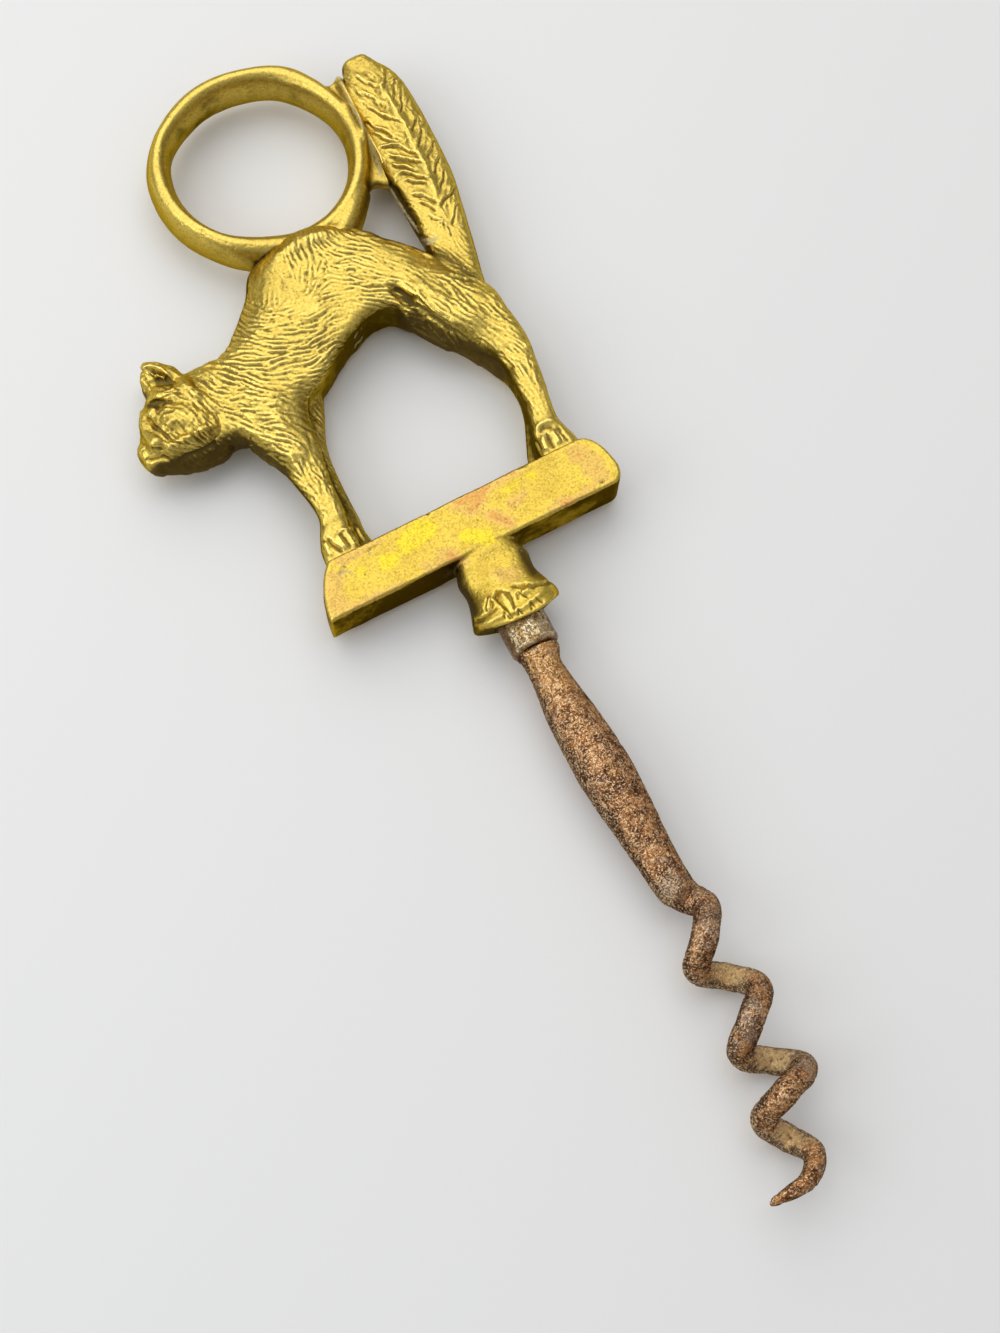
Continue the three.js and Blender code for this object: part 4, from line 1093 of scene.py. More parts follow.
def make_head(material, fur):
    """Head and ears with part of the neck inside the body: broad forms first, then brow, eye,
    muzzle, mouth and ruff."""
    head = limb(neck_shares + head_shares, sides=96, roundness=0.88)
    shells = [head, limb(near_ear_shares, sides=40), limb(far_ear_shares, sides=40)]
    points, quads = melted(shells, coarse=0.3, fine=0.115, rounds=14)
    points = modelled(points, BODY_LEVEL, head_forms)
    points = carved(points, quads, BODY_LEVEL, head_strokes, strength=1.2, waver=0.16)
    crumple = 0.1 * layered_noise(points, 1.1, 94, 2)
    points = soften(points + normals_of(points, quads) * crumple[:, None], quads, 1)
    points = carved(points, quads, BODY_LEVEL, ear_strokes, strength=1.15)
    points = furred(points, quads, fur, depth=0.17)
    points = pitted(points, quads, seed=33, depth=0.04, size=0.4, share=0.4)
    marks = furrow_marks(points, quads, fine_scale=0.02, wide_scale=0.13, least=0.15)
    finish_piece("cat_head", points, quads, material, "cat_handle", marks)


def make_tail(material, fur):
    """The upright tail with a rounded ridge down its face and slanting strokes on both sides."""
    points, quads = fused([limb(tail_shares, sides=72, roundness=0.64)], voxel=0.11)
    points = soften(points, quads, 6)
    points = modelled(points, TAIL_LEVEL, tail_forms)
    strokes = with_lips(tail_strokes, above=0.42, share=0.85)
    points = carved(points, quads, TAIL_LEVEL, strokes, waver=0.34)
    points = furred(points, quads, fur, depth=0.08)
    points = pitted(points, quads, seed=44, depth=0.04, size=0.45, share=0.4)
    marks = furrow_marks(points, quads, fine_scale=0.018, wide_scale=0.12)
    finish_piece("cat_tail", points, quads, material, "cat_handle", marks)


# The web of the seam stands proud along its middle
seam_forms = [[2.4, 0.55, [14.2, 69.0, 13.9, 60.0, 13.6, 51.0]]]


def make_ring(material):
    """The finger ring with its foot on the cat's rump and the brazed seam that holds the tail."""
    foot = limb(ring_foot_shares, sides=40)
    points, quads = fused([ring_shell(), foot, seam_shell()], voxel=0.15)
    points = soften(points, quads, 3)
    points = soften(points, quads, 90, hollow=0.006)
    points = modelled(points, SEAM_LEVEL, seam_forms)
    points = pitted(points, quads, seed=55, depth=0.035, size=0.5, share=0.45)
    marks = furrow_marks(points, quads, least=0.4)
    finish_piece("finger_ring", points, quads, material, "cat_handle", marks)


plinth_strokes = [
    # the flange's upper edge at the sides
    [-0.4, 0.2, [-6.4, -12.1, -5.2, -12.2, -4.0, -12.1, -2.6, -11.8]],
    [-0.4, 0.2, [2.1, -11.4, 3.2, -11.2, 4.2, -11.5, 5.2, -11.5]],
    # a pointed leaf in the middle of the front, smaller ones beside it, notches along the edge
    [0.34, 0.5, [-1.3, -10.6, -1.2, -12.0, -1.1, -13.0]],
    [-0.42, 0.15, [-1.7, -9.7, -2.3, -10.4, -2.0, -11.6, -1.7, -12.9, -1.5, -14.0]],
    [-0.34, 0.14, [-1.7, -9.7, -1.1, -10.0, -0.5, -10.5, -0.4, -11.4, -0.7, -12.6, -1.2, -13.6]],
    [0.3, 0.35, [-3.6, -11.2, -3.0, -10.4]], [-0.36, 0.14, [-3.1, -10.1, -4.0, -11.1, -4.0, -11.7]],
    [-0.3, 0.13, [-2.8, -10.5, -3.0, -11.2, -3.3, -11.7]],
    [0.26, 0.35, [1.2, -11.4, 2.2, -11.4]], [-0.45, 0.2, [0.4, -10.0, 1.2, -10.5, 2.2, -10.6]],
    [-0.34, 0.13, [0.7, -11.0, 1.0, -11.7, 1.4, -12.3]], [-0.3, 0.13, [0.5, -11.1, 0.2, -12.0]],
    [-0.34, 0.14, [-2.5, -13.6, -2.1, -12.7, -1.8, -13.9]],
    [-0.3, 0.13, [-0.7, -13.9, -0.4, -13.2, -0.1, -14.0]],
    [-0.34, 0.13, [1.1, -14.0, 1.4, -13.0, 1.7, -13.8]], [-0.3, 0.12, [2.3, -12.9, 2.7, -13.6]],
    [0.24, 0.4, [-5.6, -13.0, -3.0, -13.0, 0.0, -13.2, 2.6, -12.6, 4.2, -12.2]],
    # dents and dull hammer marks along the bar
    [-0.1, 0.7, [-14.6, 0.4]], [-0.08, 0.9, [-9.2, -1.2, -7.4, -0.6]], [-0.09, 0.6, [4.6, 1.2]],
    [-0.08, 0.8, [10.8, -0.6, 12.4, -0.2]], [-0.12, 0.3, [-18.0, 1.2, -17.2, 1.7]],
    [-0.1, 0.22, [-13.8, 2.2, -12.2, 2.6]], [-0.14, 0.3, [17.2, -2.6]], [-0.12, 0.3, [-4.6, 3.5]],
    [-0.1, 0.25, [8.6, 3.9, 9.4, 3.8]], [0.1, 0.8, [-3.0, -7.4, -0.4, -8.6, 2.2, -7.6]],
]
# The boss's waist falls back beside its middle, which swells a little
plinth_forms = [
    [-0.8, 0.9, [-5.2, -4.8, -5.3, -6.4]], [-0.5, 0.7, [4.2, -7.4, 4.1, -9.0]],
    [0.3, 1.2, [-1.0, -7.6]],
]
# Warm stains (over 0) and cleaner, yellower patches (under 0) on the faces of bar and boss
stain_marks = [
    [0.95, 0.8, [-2.0, 3.3, 2.0, 3.4, 6.0, 3.6, 9.4, 3.8]], [0.85, 1.0, [0.5, 1.6, 2.4, 2.4]],
    [0.85, 0.9, [2.8, -0.3, 3.4, -1.2, 4.2, -2.2]], [0.75, 0.9, [6.0, 0.1, 7.0, 0.7, 8.0, 1.3]],
    [0.75, 1.0, [-4.7, -3.0, -3.9, -3.8]], [0.5, 1.2, [-7.6, -2.9]], [0.5, 1.0, [12.0, -2.8]],
    [0.55, 0.8, [-17.0, 2.9, -12.0, 3.1]], [0.5, 1.6, [16.4, 2.2, 17.6, -1.4]],
    [0.5, 1.5, [-19.6, 0.6, -20.2, -2.6]], [0.5, 1.0, [-19.0, -3.4, -12.0, -3.5]],
    [0.5, 0.9, [9.0, -3.1, 16.0, -2.8]], [0.4, 1.2, [-1.0, -7.0, 2.0, -9.0]],
    [-1.0, 1.8, [-8.6, 1.2, -6.0, 2.0]], [-0.8, 1.6, [-12.0, 0.2]],
    [-0.8, 1.4, [-1.4, -1.2, 0.8, -2.4]],
    [-0.7, 1.4, [6.2, 2.2, 9.4, 2.0]], [-0.5, 1.4, [-15.4, 0.2]], [-0.4, 1.6, [12.4, 1.2]],
]


def make_plinth(material):
    """Plinth and boss in one skin, the corner between them filled, with worn and pitted faces."""
    points, quads = fused([plinth_shell(), boss_shell()], voxel=0.13)
    points = soften(points, quads, 2)
    points = soften(points, quads, 30, hollow=0.01)
    points = modelled(points, BAR_LEVEL, plinth_forms)
    points = carved(points, quads, FLANGE_LEVEL, plinth_strokes)
    points = pitted(points, quads, seed=66, depth=0.035, size=0.3, share=0.35)
    marks = furrow_marks(points, quads)
    marks["stain"] = np.clip(brushed(seen_place(points, BAR_LEVEL), stain_marks), -1, 1)
    finish_piece("plinth_and_boss", points, quads, material, "cat_handle", marks)


# Collar and worm

COLLAR_TOP, COLLAR_FOOT, COLLAR_RADIUS, COLLAR_BORE = -12.6, -17.8, 3.2, 2.2
COLLAR_LENGTH, SHOULDER_INWARD, SHOULDER_HEIGHT = 5.2, 0.5, 0.8
SIDE_INWARD, SIDE_SWELL = 0.08, 0.06
NECK_TOP, SHANK_LENGTH, SHANK_RADIUS = -18.1, 34.0, 3.4
SHANK_FOOT = NECK_TOP - SHANK_LENGTH
HELIX_RADIUS, HELIX_LENGTH = 2.95, 37.5
# The wire: its width, its width at the tip, the share of it that tapers, the share over which its
# radius leaves the shank's, and the shank's radius there as a share
WIRE_WIDTH, TIP_WIDTH, TAPER_SHARE, BLEND_SHARE, BLEND_RADIUS_SHARE = 3.25, 0.7, 0.18, 0.07, 0.72
TANG_TOP, TANG_RADIUS, TANG_RINGS = -13, 1.9, 14
# Stations of the shank: share of its length, half width as a share of its radius, and how far it
# lies aside as such a share
shank_shares = [
    [0.0, 0.82, 0], [0.022, 0.76, -0.03], [0.046, 0.69, -0.06], [0.09, 0.68, -0.08],
    [0.16, 0.77, -0.09], [0.28, 0.91, -0.07],
    [0.4, 0.99, -0.02], [0.52, 1.03, 0.01], [0.64, 0.96, 0.04], [0.76, 0.85, 0.07],
    [0.87, 0.76, 0.1], [0.95, 0.72, 0.13],
]
# Points of the helix about a quarter turn apart: x and z as shares of its radius, and share of
# its length
quarter_turns = [
    [0.2, -0.1, 0], [0.58, -0.3, 0.05], [0.9, 0.15, 0.099], [0.13, 0.88, 0.192],
    [-0.64, 0.05, 0.267], [0.45, -0.98, 0.318], [1.22, 0, 0.403], [0.05, 1, 0.49],
    [-0.73, 0, 0.56], [0.38, -1, 0.617], [1.24, 0, 0.685], [-0.15, 1.05, 0.73],
    [-1.2, 0, 0.771], [-0.48, -0.95, 0.853], [-0.12, 0, 0.928], [-0.88, 0.6, 0.987],
    [-2.55, 0.3, 0.998],
]


def make_collar(material, around=300):
    """The ferrule: a profile of bore, foot, rounded shoulder and side turned about the worm's line,
    then dented by noise. The shoulder is an ellipse's quarter, and the side swells as a sine."""
    t = np.radians(np.linspace(90, 0, 10))
    shoulder = np.stack([COLLAR_RADIUS - SHOULDER_INWARD * (1 - np.cos(t)),
                         COLLAR_FOOT + SHOULDER_HEIGHT * (1 - np.sin(t))], 1)
    side_y = np.linspace(COLLAR_FOOT + SHOULDER_HEIGHT, COLLAR_TOP, 60)[1:]
    belt = SIDE_SWELL * np.sin((side_y - COLLAR_FOOT) / COLLAR_LENGTH * math.pi)
    side = np.stack([COLLAR_RADIUS - SIDE_INWARD + belt, side_y], 1)
    foot_r = np.linspace(COLLAR_BORE, COLLAR_RADIUS - SHOULDER_INWARD, 10, endpoint=False)
    foot = np.stack([foot_r, np.full(10, COLLAR_FOOT)], 1)
    bore = [[COLLAR_BORE, COLLAR_TOP], [COLLAR_BORE, COLLAR_FOOT + 2]]
    profile = np.vstack([bore, foot, shoulder, side])
    turn = np.linspace(0, 2 * np.pi, around, endpoint=False)
    points = np.stack([profile[:, 0:1] * np.cos(turn), np.repeat(profile[:, 1:2], around, 1),
                       MID + profile[:, 0:1] * np.sin(turn)], 2)
    count = len(profile)
    points = points.reshape(-1, 3)
    quads = grid_faces(count + 1, around) % len(points)
    quads = facing_out(points, quads)
    normal = normals_of(points, quads)
    outside = step_between(COLLAR_BORE + 0.1, COLLAR_BORE + 0.4,
                           np.hypot(points[:, 0], points[:, 2] - MID))
    pits = step_between(0.25, 0.6, layered_noise(points, 0.5, 71, 3))
    height = 0.04 * layered_noise(points, 2.2, 72, 2) - 0.07 * pits
    points = points + normal * (height * outside)[:, None]
    marks = furrow_marks(points, quads, fine_scale=0.01, wide_scale=0.05, flat=False)
    finish_piece("collar", points, quads, material, "shank_collar", marks)


def make_worm(material, around=84):
    """Tang, neck, spindle shank and helix: circles square to one smooth line, each turned as little
    as may be from the one before it, then roughened by rust. Towards its tip the wire's radius
    falls as the root of what is left, and at the shank e^(-share / blend) of it is the shank's."""
    shank = [[aside * SHANK_RADIUS, NECK_TOP - down * SHANK_LENGTH, 0, share * SHANK_RADIUS]
             for down, share, aside in shank_shares]
    shank = smooth_rows(shank, 40)
    helix = np.array([[x * HELIX_RADIUS, SHANK_FOOT - down * HELIX_LENGTH, z * HELIX_RADIUS]
                      for x, z, down in quarter_turns])
    helix = smooth_rows(helix, 44)
    share = np.linspace(0, 1, len(helix))
    taper = np.sqrt(np.clip((1 - share) / TAPER_SHARE, 0, 1))
    wire = TIP_WIDTH / 2 + (WIRE_WIDTH - TIP_WIDTH) / 2 * taper
    radius = wire + (BLEND_RADIUS_SHARE * SHANK_RADIUS - wire) * np.exp(-share / BLEND_SHARE)
    helix = np.column_stack([helix, radius])
    zero = np.zeros(TANG_RINGS)
    tang = np.column_stack([zero, np.linspace(TANG_TOP, NECK_TOP + 0.3, TANG_RINGS), zero,
                            zero + TANG_RADIUS])
    # the helix's first rings are left out, so that none crowds the shank's last one
    line = np.vstack([tang, shank, helix[4:]])
    centres, radii = line[:, :3] + (0, 0, MID), line[:, 3]
    forward = np.gradient(centres, axis=0)
    forward /= np.linalg.norm(forward, axis=1, keepdims=True)
    across = np.zeros_like(forward)
    across[0] = (1, 0, 0)
    for at in range(1, len(line)):
        kept = across[at - 1] - forward[at] * (across[at - 1] @ forward[at])
        across[at] = kept / np.linalg.norm(kept)
    upward = np.cross(forward, across)
    tip_turn = np.radians(np.linspace(12, 84, 7))
    tip = radii[-1]
    centres = np.vstack([centres, centres[-1] + np.outer(np.sin(tip_turn) * tip, forward[-1])])
    across, upward = (np.vstack([way, np.tile(way[-1], (len(tip_turn), 1))])
                      for way in (across, upward))
    radii = np.concatenate([radii, np.cos(tip_turn) * tip])
    points, quads = sweep(centres, across, upward, radii, radii, around)
    ends = []
    for first, flip in ((0, True), (len(points) - around, False)):
        ring = np.arange(first, first + around)
        left, right = ring[:around // 2], ring[::-1][:around // 2]
        cap = np.stack([left[:-1], left[1:], right[1:], right[:-1]], 1)
        ends.append(cap[:, ::-1] if flip else cap)
    quads = np.vstack([quads] + ends)
    quads = facing_out(points, quads)
    normal = normals_of(points, quads)
    flakes = layered_noise(points, 1.6, 81, 3)
    pits = step_between(0.2, 0.7, layered_noise(points, 0.55, 82, 2))
    grain = layered_noise(points, 0.3, 83, 2)
    fade = step_between(COLLAR_FOOT + 0.6, COLLAR_FOOT - 0.6, points[:, 1])
    height = (0.06 * flakes - 0.1 * pits + 0.02 * grain) * fade
    points = points + normal * height[:, None]
    marks = furrow_marks(points, quads, fine_scale=0.014, wide_scale=0.08, flat=False)
    finish_piece("worm_and_shank", points, quads, material, "worm", marks)


# Finishes

class Value:
    """A socket of a finish. Sums, differences and products of values add Math nodes."""

    def __init__(self, finish, socket):
        self.finish, self.socket = finish, socket

    def maths(self, operation, *values):
        """One Math node."""
        return self.finish.add("ShaderNodeMath", {"operation": operation}, *values)

    def __add__(self, other):
        return self.maths("ADD", self, other)

    def __radd__(self, other):
        return self.maths("ADD", other, self)

    def __sub__(self, other):
        return self.maths("SUBTRACT", self, other)

    def __rsub__(self, other):
        return self.maths("SUBTRACT", other, self)

    def __mul__(self, other):
        return self.maths("MULTIPLY", self, other)

    def clamped(self):
        """The value, held between 0 and 1."""
        return self.finish.add("ShaderNodeClamp", {}, self)


class Finish:
    """A material made of nodes. Its patterns follow the object's own coordinates, in millimetres."""

    def __init__(self, name):
        self.material = bpy.data.materials.new(name)
        self.material.use_nodes = True
        self.tree = self.material.node_tree
        self.tree.nodes.clear()
        place = self.add("ShaderNodeTexCoord", {}, out="Object")
        self.place = self.add("ShaderNodeVectorMath", {"operation": "SCALE"}, place, Scale=1000.0)

    def add(self, kind, settings, *values, out=0, **named):
        """One node: its settings are set first, then its inputs by order or by name."""
        node = self.tree.nodes.new(kind)
        for key, setting in settings.items():
            setattr(node, key, setting)
        slots = [socket for socket in node.inputs if socket.enabled]
        by_name = [(self.named(slots, key), value) for key, value in named.items()]
        for socket, value in list(zip(slots, values)) + by_name:
            if isinstance(value, Value):
                self.tree.links.new(value.socket, socket)
            else:
                socket.default_value = value
        given = [socket for socket in node.outputs if socket.enabled and out in (0, socket.name)]
        return Value(self, given[0]) if given else None

    @staticmethod
    def named(slots, key):
        """The input of that name, its spaces written as underscores."""
        return next(socket for socket in slots if socket.name.replace(" ", "_") == key)

    def noise(self, size, detail=3.0, roughness=0.55, warp=0.0):
        """Noise from 0 to 1 whose blobs are about that many millimetres apart."""
        return self.add("ShaderNodeTexNoise", {"noise_dimensions": "3D"}, self.place,
                        Scale=1.0 / size, Detail=detail, Roughness=roughness, Distortion=warp)

    def between(self, low, high, value):
        """Goes smoothly from 0 to 1 as the value goes from low to high, which may be the lower."""
        return self.add("ShaderNodeMapRange", {"interpolation_type": "SMOOTHSTEP"}, value,
                        low, high, 0.0, 1.0)

    def mixed(self, share, first, second):
        """A colour between two colours."""
        return self.add("ShaderNodeMix", {"data_type": "RGBA"}, share, first, second)

    def mark(self, name):
        """A mark that is stored on the piece's points."""
        return self.add("ShaderNodeAttribute", {"attribute_name": name}, out="Fac")

    def across(self):
        """The three parts of the place, in millimetres."""
        node = self.tree.nodes.new("ShaderNodeSeparateXYZ")
        self.tree.links.new(self.place.socket, node.inputs[0])
        return [Value(self, socket) for socket in node.outputs]

    def bump(self, height, distance, strength):
        """A normal from a height times the distance in metres."""
        return self.add("ShaderNodeBump", {}, Strength=strength, Distance=distance, Height=height)

    def shaded(self, base, roughness, metallic, normal, **constants):
        """The material, with one shader made of these."""
        shader = self.add("ShaderNodeBsdfPrincipled", {}, Base_Color=base, Roughness=roughness,
                          Metallic=metallic, Normal=normal, **constants)
        self.add("ShaderNodeOutputMaterial", {}, Surface=shader)
        return self.material


def colour(red, green, blue):
    """A colour given by its 0 to 255 screen values, as the linear light that a shader takes."""
    return tuple((v / 255 / 12.92 if v / 255 <= 0.04045 else ((v / 255 + 0.055) / 1.055) ** 2.4)
                 for v in (red, green, blue)) + (1.0,)


# The colours of reflections at a glancing angle
BRASS_EDGE, RUST_EDGE = (0.62, 0.5, 0.24, 1.0), (0.7, 0.55, 0.42, 1.0)
# Brass: its stains and clean patches, rubbed edges, pits, dirt with painted shade, soil in furrows, and
# chalk
WARM_STAIN, CLEAN_PATCH, RUBBED = colour(222, 182, 98), colour(240, 216, 52), colour(253, 230, 134)
PIT_BROWN, DIRT_AND_SHADE_BROWN, FURROW_SOIL = colour(132, 98, 40), colour(84, 66, 26), colour(90, 78, 42)
CHALK = colour(214, 202, 160)
# Rusted steel: its scale, grey scale with a painted sheen, neck, the back of its helix, painted shade
# on the sides, light flecks with painted glints, and pits
DARK_SCALE, LIGHT_SCALE, GREY_SCALE_AND_SHEEN = colour(104, 60, 32), colour(194, 134, 80), colour(158, 142, 128)
GOLDEN_NECK, BACK_TURNS, SHANK_SIDE_SHADE = colour(220, 156, 76), colour(255, 218, 150), colour(70, 38, 18)
LIGHT_FLECK_AND_GLINT, DARK_PIT = colour(255, 226, 182), colour(58, 34, 20)
# The collar: its steel, the painted shade on its sides, its foot and its rust
STEEL_TAN, STEEL_PALE, COLLAR_SIDE_SHADE = colour(168, 136, 84), colour(250, 232, 190), colour(104, 70, 34)
FOOT_BROWN, RUST_BROWN = colour(150, 104, 50), colour(120, 78, 42)
FLOOR_PALE = (0.87, 0.87, 0.86, 1)
TARNISH_LOW, TARNISH_WIDTH = 0.62, 0.12  # how much of the patches' noise stays untarnished


def brass(name, bright, dull, shade, tarnish, polish, stained=False):
    """Handled cast brass: bright on what hands reach and light falls on, dull between, with painted
    shade on the sides turned from the light and along the grime marks, brown in furrows and pits.
    Where it is stained, its stains and clean patches follow a mark of their own."""
    made = Finish(name)
    hollow, worn, rubbed_and_lit, chalk, grime_and_shade = (made.mark(mark) for mark in
                                          ("hollow", "worn", "rubbed_and_lit", "chalk", "grime_and_shade"))
    broad, patches = made.noise(9.0, 3.0), made.noise(2.6, 5.0, 0.65, warp=0.4)
    specks, grain = made.noise(0.5, 4.0, 0.65), made.noise(0.22, 2.0)
    # The rubbed mark is partly painted shade: sides turned from the light fall to the shade colour.
    reach = rubbed_and_lit * 0.78 + (broad - 0.5) * 1.1 + (patches - 0.5) * 0.7 + worn * 0.35
    base = made.mixed(made.between(0.0, 0.35, reach), shade, dull)
    base = made.mixed(made.between(0.35, 0.9, reach), base, bright)
    if stained:
        stain = made.mark("stain") + (patches - 0.5) * 1.5 + (specks - 0.5) * 0.4
        base = made.mixed(made.between(0.1, 0.36, stain) * rubbed_and_lit * 0.82, base, WARM_STAIN)
        base = made.mixed(made.between(0.6, 0.76, stain) * rubbed_and_lit * 0.9, base, tarnish)
        base = made.mixed(made.between(-0.35, -0.6, stain) * rubbed_and_lit * 0.75, base, CLEAN_PATCH)
    else:
        tarnished = made.between(TARNISH_LOW, TARNISH_LOW + TARNISH_WIDTH, patches)
        base = made.mixed(tarnished * 0.7, base, tarnish)
    fine = made.noise(0.3, 3.0, 0.6)
    base = made.mixed(made.between(0.46, 0.62, fine) * 0.3, base, shade)
    base = made.mixed((worn * rubbed_and_lit * 0.6).clamped(), base, RUBBED)
    pits = made.between(0.62, 0.74, specks)
    base = made.mixed(pits * 0.45, base, PIT_BROWN)
    # Painted shade with some dirt: the grime marks darken undersides, walls and creases where shade
    # falls.
    dirt_and_shade = made.between(0.25, 0.75, grime_and_shade + (patches - 0.5) * 0.5 + (specks - 0.5) * 0.4 - worn * 0.6)
    base = made.mixed(dirt_and_shade * 0.85, base, DIRT_AND_SHADE_BROWN)
    soil = made.between(0.15, 0.95, hollow + (specks - 0.5) * 0.3).clamped()
    base = made.mixed(soil * 0.72, base, FURROW_SOIL)
    dust = made.between(0.5, 1.0, chalk + (specks - 0.5) * 1.7 + (fine - 0.5) * 1.3)
    base = made.mixed(dust * 0.62, base, CHALK)
    rough = (polish + (grain - 0.5) * 0.16 + (patches - 0.5) * 0.24 + soil * 0.3 + pits * 0.15
             - worn * 0.1 + dust * 0.3 + dirt_and_shade * 0.2)
    height = grain * 0.3 + specks * 0.6 + fine * 0.4 - pits * 0.6
    normal = made.bump(height, distance=0.00007, strength=0.6)
    metal = 1.0 - soil * 0.55 - pits * 0.15 - dust * 0.6 - dirt_and_shade * 0.35
    return made.shaded(base, rough.clamped(), metal.clamped(), normal, Specular_Tint=BRASS_EDGE)


def rusty(name):
    """Rusted steel, bright where hands and light reach it, with painted shade on the sides turned
    from the light: brown scale, grey patches partly painted as a sheen, dark patches, light flecks
    partly painted as glints. The neck is golden, and the back of the helix is pale."""
    made = Finish(name)
    hollow, rubbed_and_lit, worn = (made.mark(mark) for mark in ("hollow", "rubbed_and_lit", "worn"))
    broad, patches = made.noise(5.0, 3.0), made.noise(1.5, 5.0, 0.7, warp=0.6)
    specks, fine = made.noise(0.5, 5.0, 0.75), made.noise(0.24, 3.0, 0.7)
    grain = made.noise(0.13, 2.0)
    place = made.across()
    base = made.mixed(made.between(0.4, 0.6, patches), DARK_SCALE, LIGHT_SCALE)
    # Grey patches along the shank's middle, partly a painted sheen.
    grey_and_sheen_share = made.between(0.5, 0.66, broad) * made.between(-34.0, -40.0, place[1])
    base = made.mixed(grey_and_sheen_share * 0.6, base, GREY_SCALE_AND_SHEEN)
    golden = made.between(-30.0, -19.0, place[1] + (broad - 0.5) * 9.0)
    behind = (made.between(4.8, 2.6, place[2] + (patches - 0.5) * 1.6)
              * made.between(-55.0, -58.0, place[1]))
    base = made.mixed(golden * 0.7, base, GOLDEN_NECK)
    base = made.mixed((behind * 0.6).clamped(), base, BACK_TURNS)
    # Painted shade: the sides of shank and wire, turned from the light, go dark brown.
    shadow = made.between(1.0, 0.3, rubbed_and_lit + (patches - 0.5) * 0.7)
    base = made.mixed(shadow * 0.88, base, SHANK_SIDE_SHADE)
    # Light flecks of bare metal, their pale colour partly a painted glint standing in for sparkle.
    fleck_and_glint_level = fine + (patches - 0.5) * 0.16 + worn * 0.06 + golden * rubbed_and_lit * 0.03
    flecks_and_glints = made.between(0.53, 0.62, fleck_and_glint_level)
    base = made.mixed((flecks_and_glints * 0.68).clamped(), base, LIGHT_FLECK_AND_GLINT)
    dark = made.between(0.46, 0.36, specks * 0.5 + fine * 0.5)
    base = made.mixed((dark * 0.75 + hollow * 0.5).clamped(), base, DARK_PIT)
    rough = (0.36 + (specks - 0.5) * 0.3 + hollow * 0.2 - flecks_and_glints * 0.12 + shadow * 0.1
             - golden * 0.06 + behind * 0.2)
    metal = 0.85 + flecks_and_glints * 0.15 - dark * 0.3 - hollow * 0.3 - behind * 0.5
    height = specks * 0.6 + fine * 0.9 + grain * 0.5 - dark * 0.4
    normal = made.bump(height, distance=0.00014, strength=0.85)
    return made.shaded(base, rough.clamped(), metal.clamped(), normal, Specular_Tint=RUST_EDGE)


def worn_steel(name):
    """The collar: gold-tinged rubbed steel with painted shade in brown on its sides, turned from the
    light, and brown rust in its pits.
    """
    made = Finish(name)
    hollow, rubbed_and_lit = made.mark("hollow"), made.mark("rubbed_and_lit")
    patches, specks = made.noise(1.2, 4.0, 0.65, warp=0.3), made.noise(0.35, 4.0, 0.7)
    grain = made.noise(0.14, 2.0)
    place = made.across()
    base = made.mixed(made.between(0.38, 0.62, patches), STEEL_TAN, STEEL_PALE)
    # Painted shade: the collar's sides, turned from the light, go brown.
    edge = made.between(1.0, 0.45, rubbed_and_lit + (patches - 0.5) * 0.5)
    base = made.mixed(edge * 0.85, base, COLLAR_SIDE_SHADE)
    foot = made.between(-16.6, -18.2, place[1] + (patches - 0.5) * 1.2)
    base = made.mixed(foot * 0.6, base, FOOT_BROWN)
    rust = made.between(0.52, 0.64, specks + hollow * 0.3)
    base = made.mixed((rust * 0.65).clamped(), base, RUST_BROWN)
    rough = 0.27 + (grain - 0.5) * 0.2 + rust * 0.3
    height = specks * 0.7 + grain * 0.4 - rust * 0.5
    normal = made.bump(height, distance=0.00012, strength=0.75)
    metal = 1.0 - rust * 0.4
    return made.shaded(base, rough.clamped(), metal.clamped(), normal)


def floor_finish():
    """A plain pale floor that keeps the object's shadow."""
    made = Finish("pale_floor")
    normal = made.bump(made.noise(20.0), distance=0.0001, strength=0.1)
    return made.shaded(FLOOR_PALE, roughness=0.7, metallic=0.0, normal=normal)


FLOOR_HALF_WIDTH, FLOOR_GAP = 3.0, 0.0001


def make_floor():
    """One square just under the object."""
    mesh = bpy.data.meshes.new("floor")
    half, height = FLOOR_HALF_WIDTH, cad_box[0][2] - FLOOR_GAP
    mesh.from_pydata([(-half, -half, height), (half, -half, height), (half, half, height),
                      (-half, half, height)], [], [(0, 1, 2, 3)])
    mesh.materials.append(floor_finish())
    made = bpy.data.objects.new("floor", mesh)
    bpy.context.scene.collection.objects.link(made)


ROOM_LOW, ROOM_HIGH, ROOM_STRENGTH = (0.2, 0.2, 0.21, 1), (0.72, 0.73, 0.75, 1), 0.74


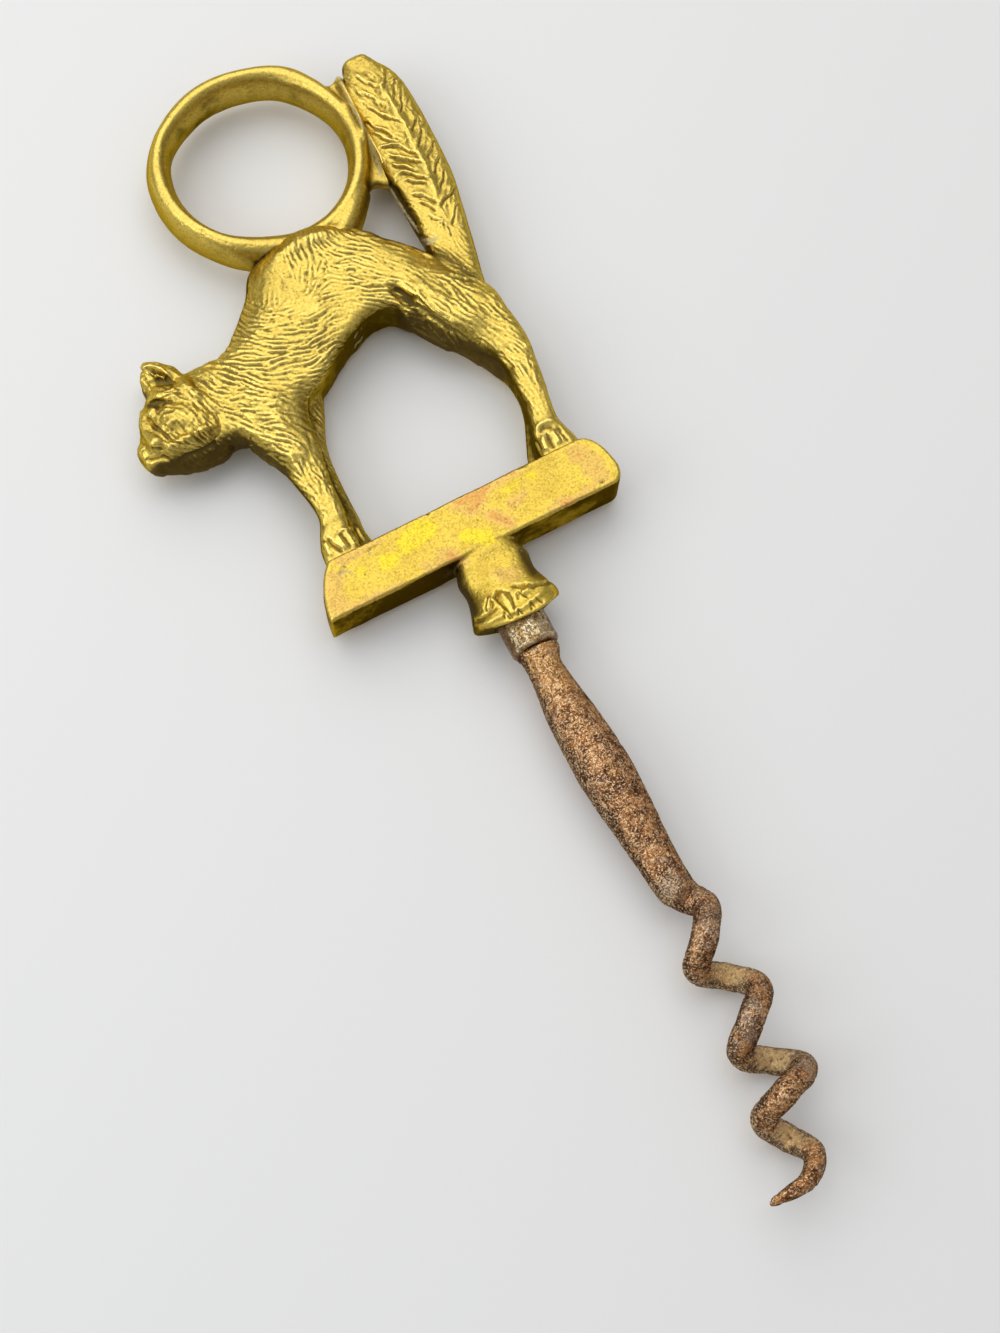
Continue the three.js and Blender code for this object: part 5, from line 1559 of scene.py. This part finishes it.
def make_world():
    """A pale grey room that is darker below the horizon and brighter overhead."""
    world = bpy.data.worlds.new("room")
    world.use_nodes = True
    tree = world.node_tree
    tree.nodes.clear()
    out = tree.nodes.new("ShaderNodeOutputWorld")
    light = tree.nodes.new("ShaderNodeBackground")
    ramp = tree.nodes.new("ShaderNodeValToRGB")
    parts = tree.nodes.new("ShaderNodeSeparateXYZ")
    place = tree.nodes.new("ShaderNodeTexCoord")
    half = tree.nodes.new("ShaderNodeMapRange")
    half.inputs["From Min"].default_value = -1.0
    tree.links.new(place.outputs["Generated"], parts.inputs[0])
    tree.links.new(parts.outputs["Z"], half.inputs["Value"])
    tree.links.new(half.outputs[0], ramp.inputs[0])
    stops = ((0.5, ROOM_LOW), (0.95, ROOM_HIGH))
    for element, (position, tint) in zip(ramp.color_ramp.elements, stops):
        element.position, element.color = position, tint
    tree.links.new(ramp.outputs[0], light.inputs["Color"])
    light.inputs["Strength"].default_value = ROOM_STRENGTH
    tree.links.new(light.outputs[0], out.inputs["Surface"])
    bpy.context.scene.world = world


# The whole object

set_camera()
make_world()
make_floor()
area_light("window", place=(0.03, 0.3, 0.5), aim=(0, 0, 0), size=(0.8, 0.85), watts=2.25,
           tint=(1.0, 0.98, 0.95))
area_light("fill", place=(-0.45, 0.1, 0.3), aim=(0, 0.02, 0), size=(0.5, 0.3), watts=0.85,
           tint=(0.93, 0.96, 1.0))

cast_brass = brass("cast_brass", bright=colour(230, 200, 94), dull=colour(196, 168, 74),
                   shade=colour(92, 76, 28), tarnish=colour(150, 124, 56), polish=0.35)
plinth_brass = brass("plinth_brass", bright=colour(232, 200, 82), dull=colour(200, 168, 68),
                     shade=colour(74, 60, 24), tarnish=colour(218, 162, 88), polish=0.4, stained=True)
fur = fur_field(fur_ways, FUR_WIDTH, FUR_HEIGHT, seed=11)
make_body(cast_brass, fur)
make_head(cast_brass, fur)
make_tail(cast_brass, fur)
make_ring(cast_brass)
make_plinth(plinth_brass)
make_collar(worn_steel("worn_steel"))
make_worm(rusty("rusty_steel"))

bpy.context.scene.view_settings.view_transform = "Standard"
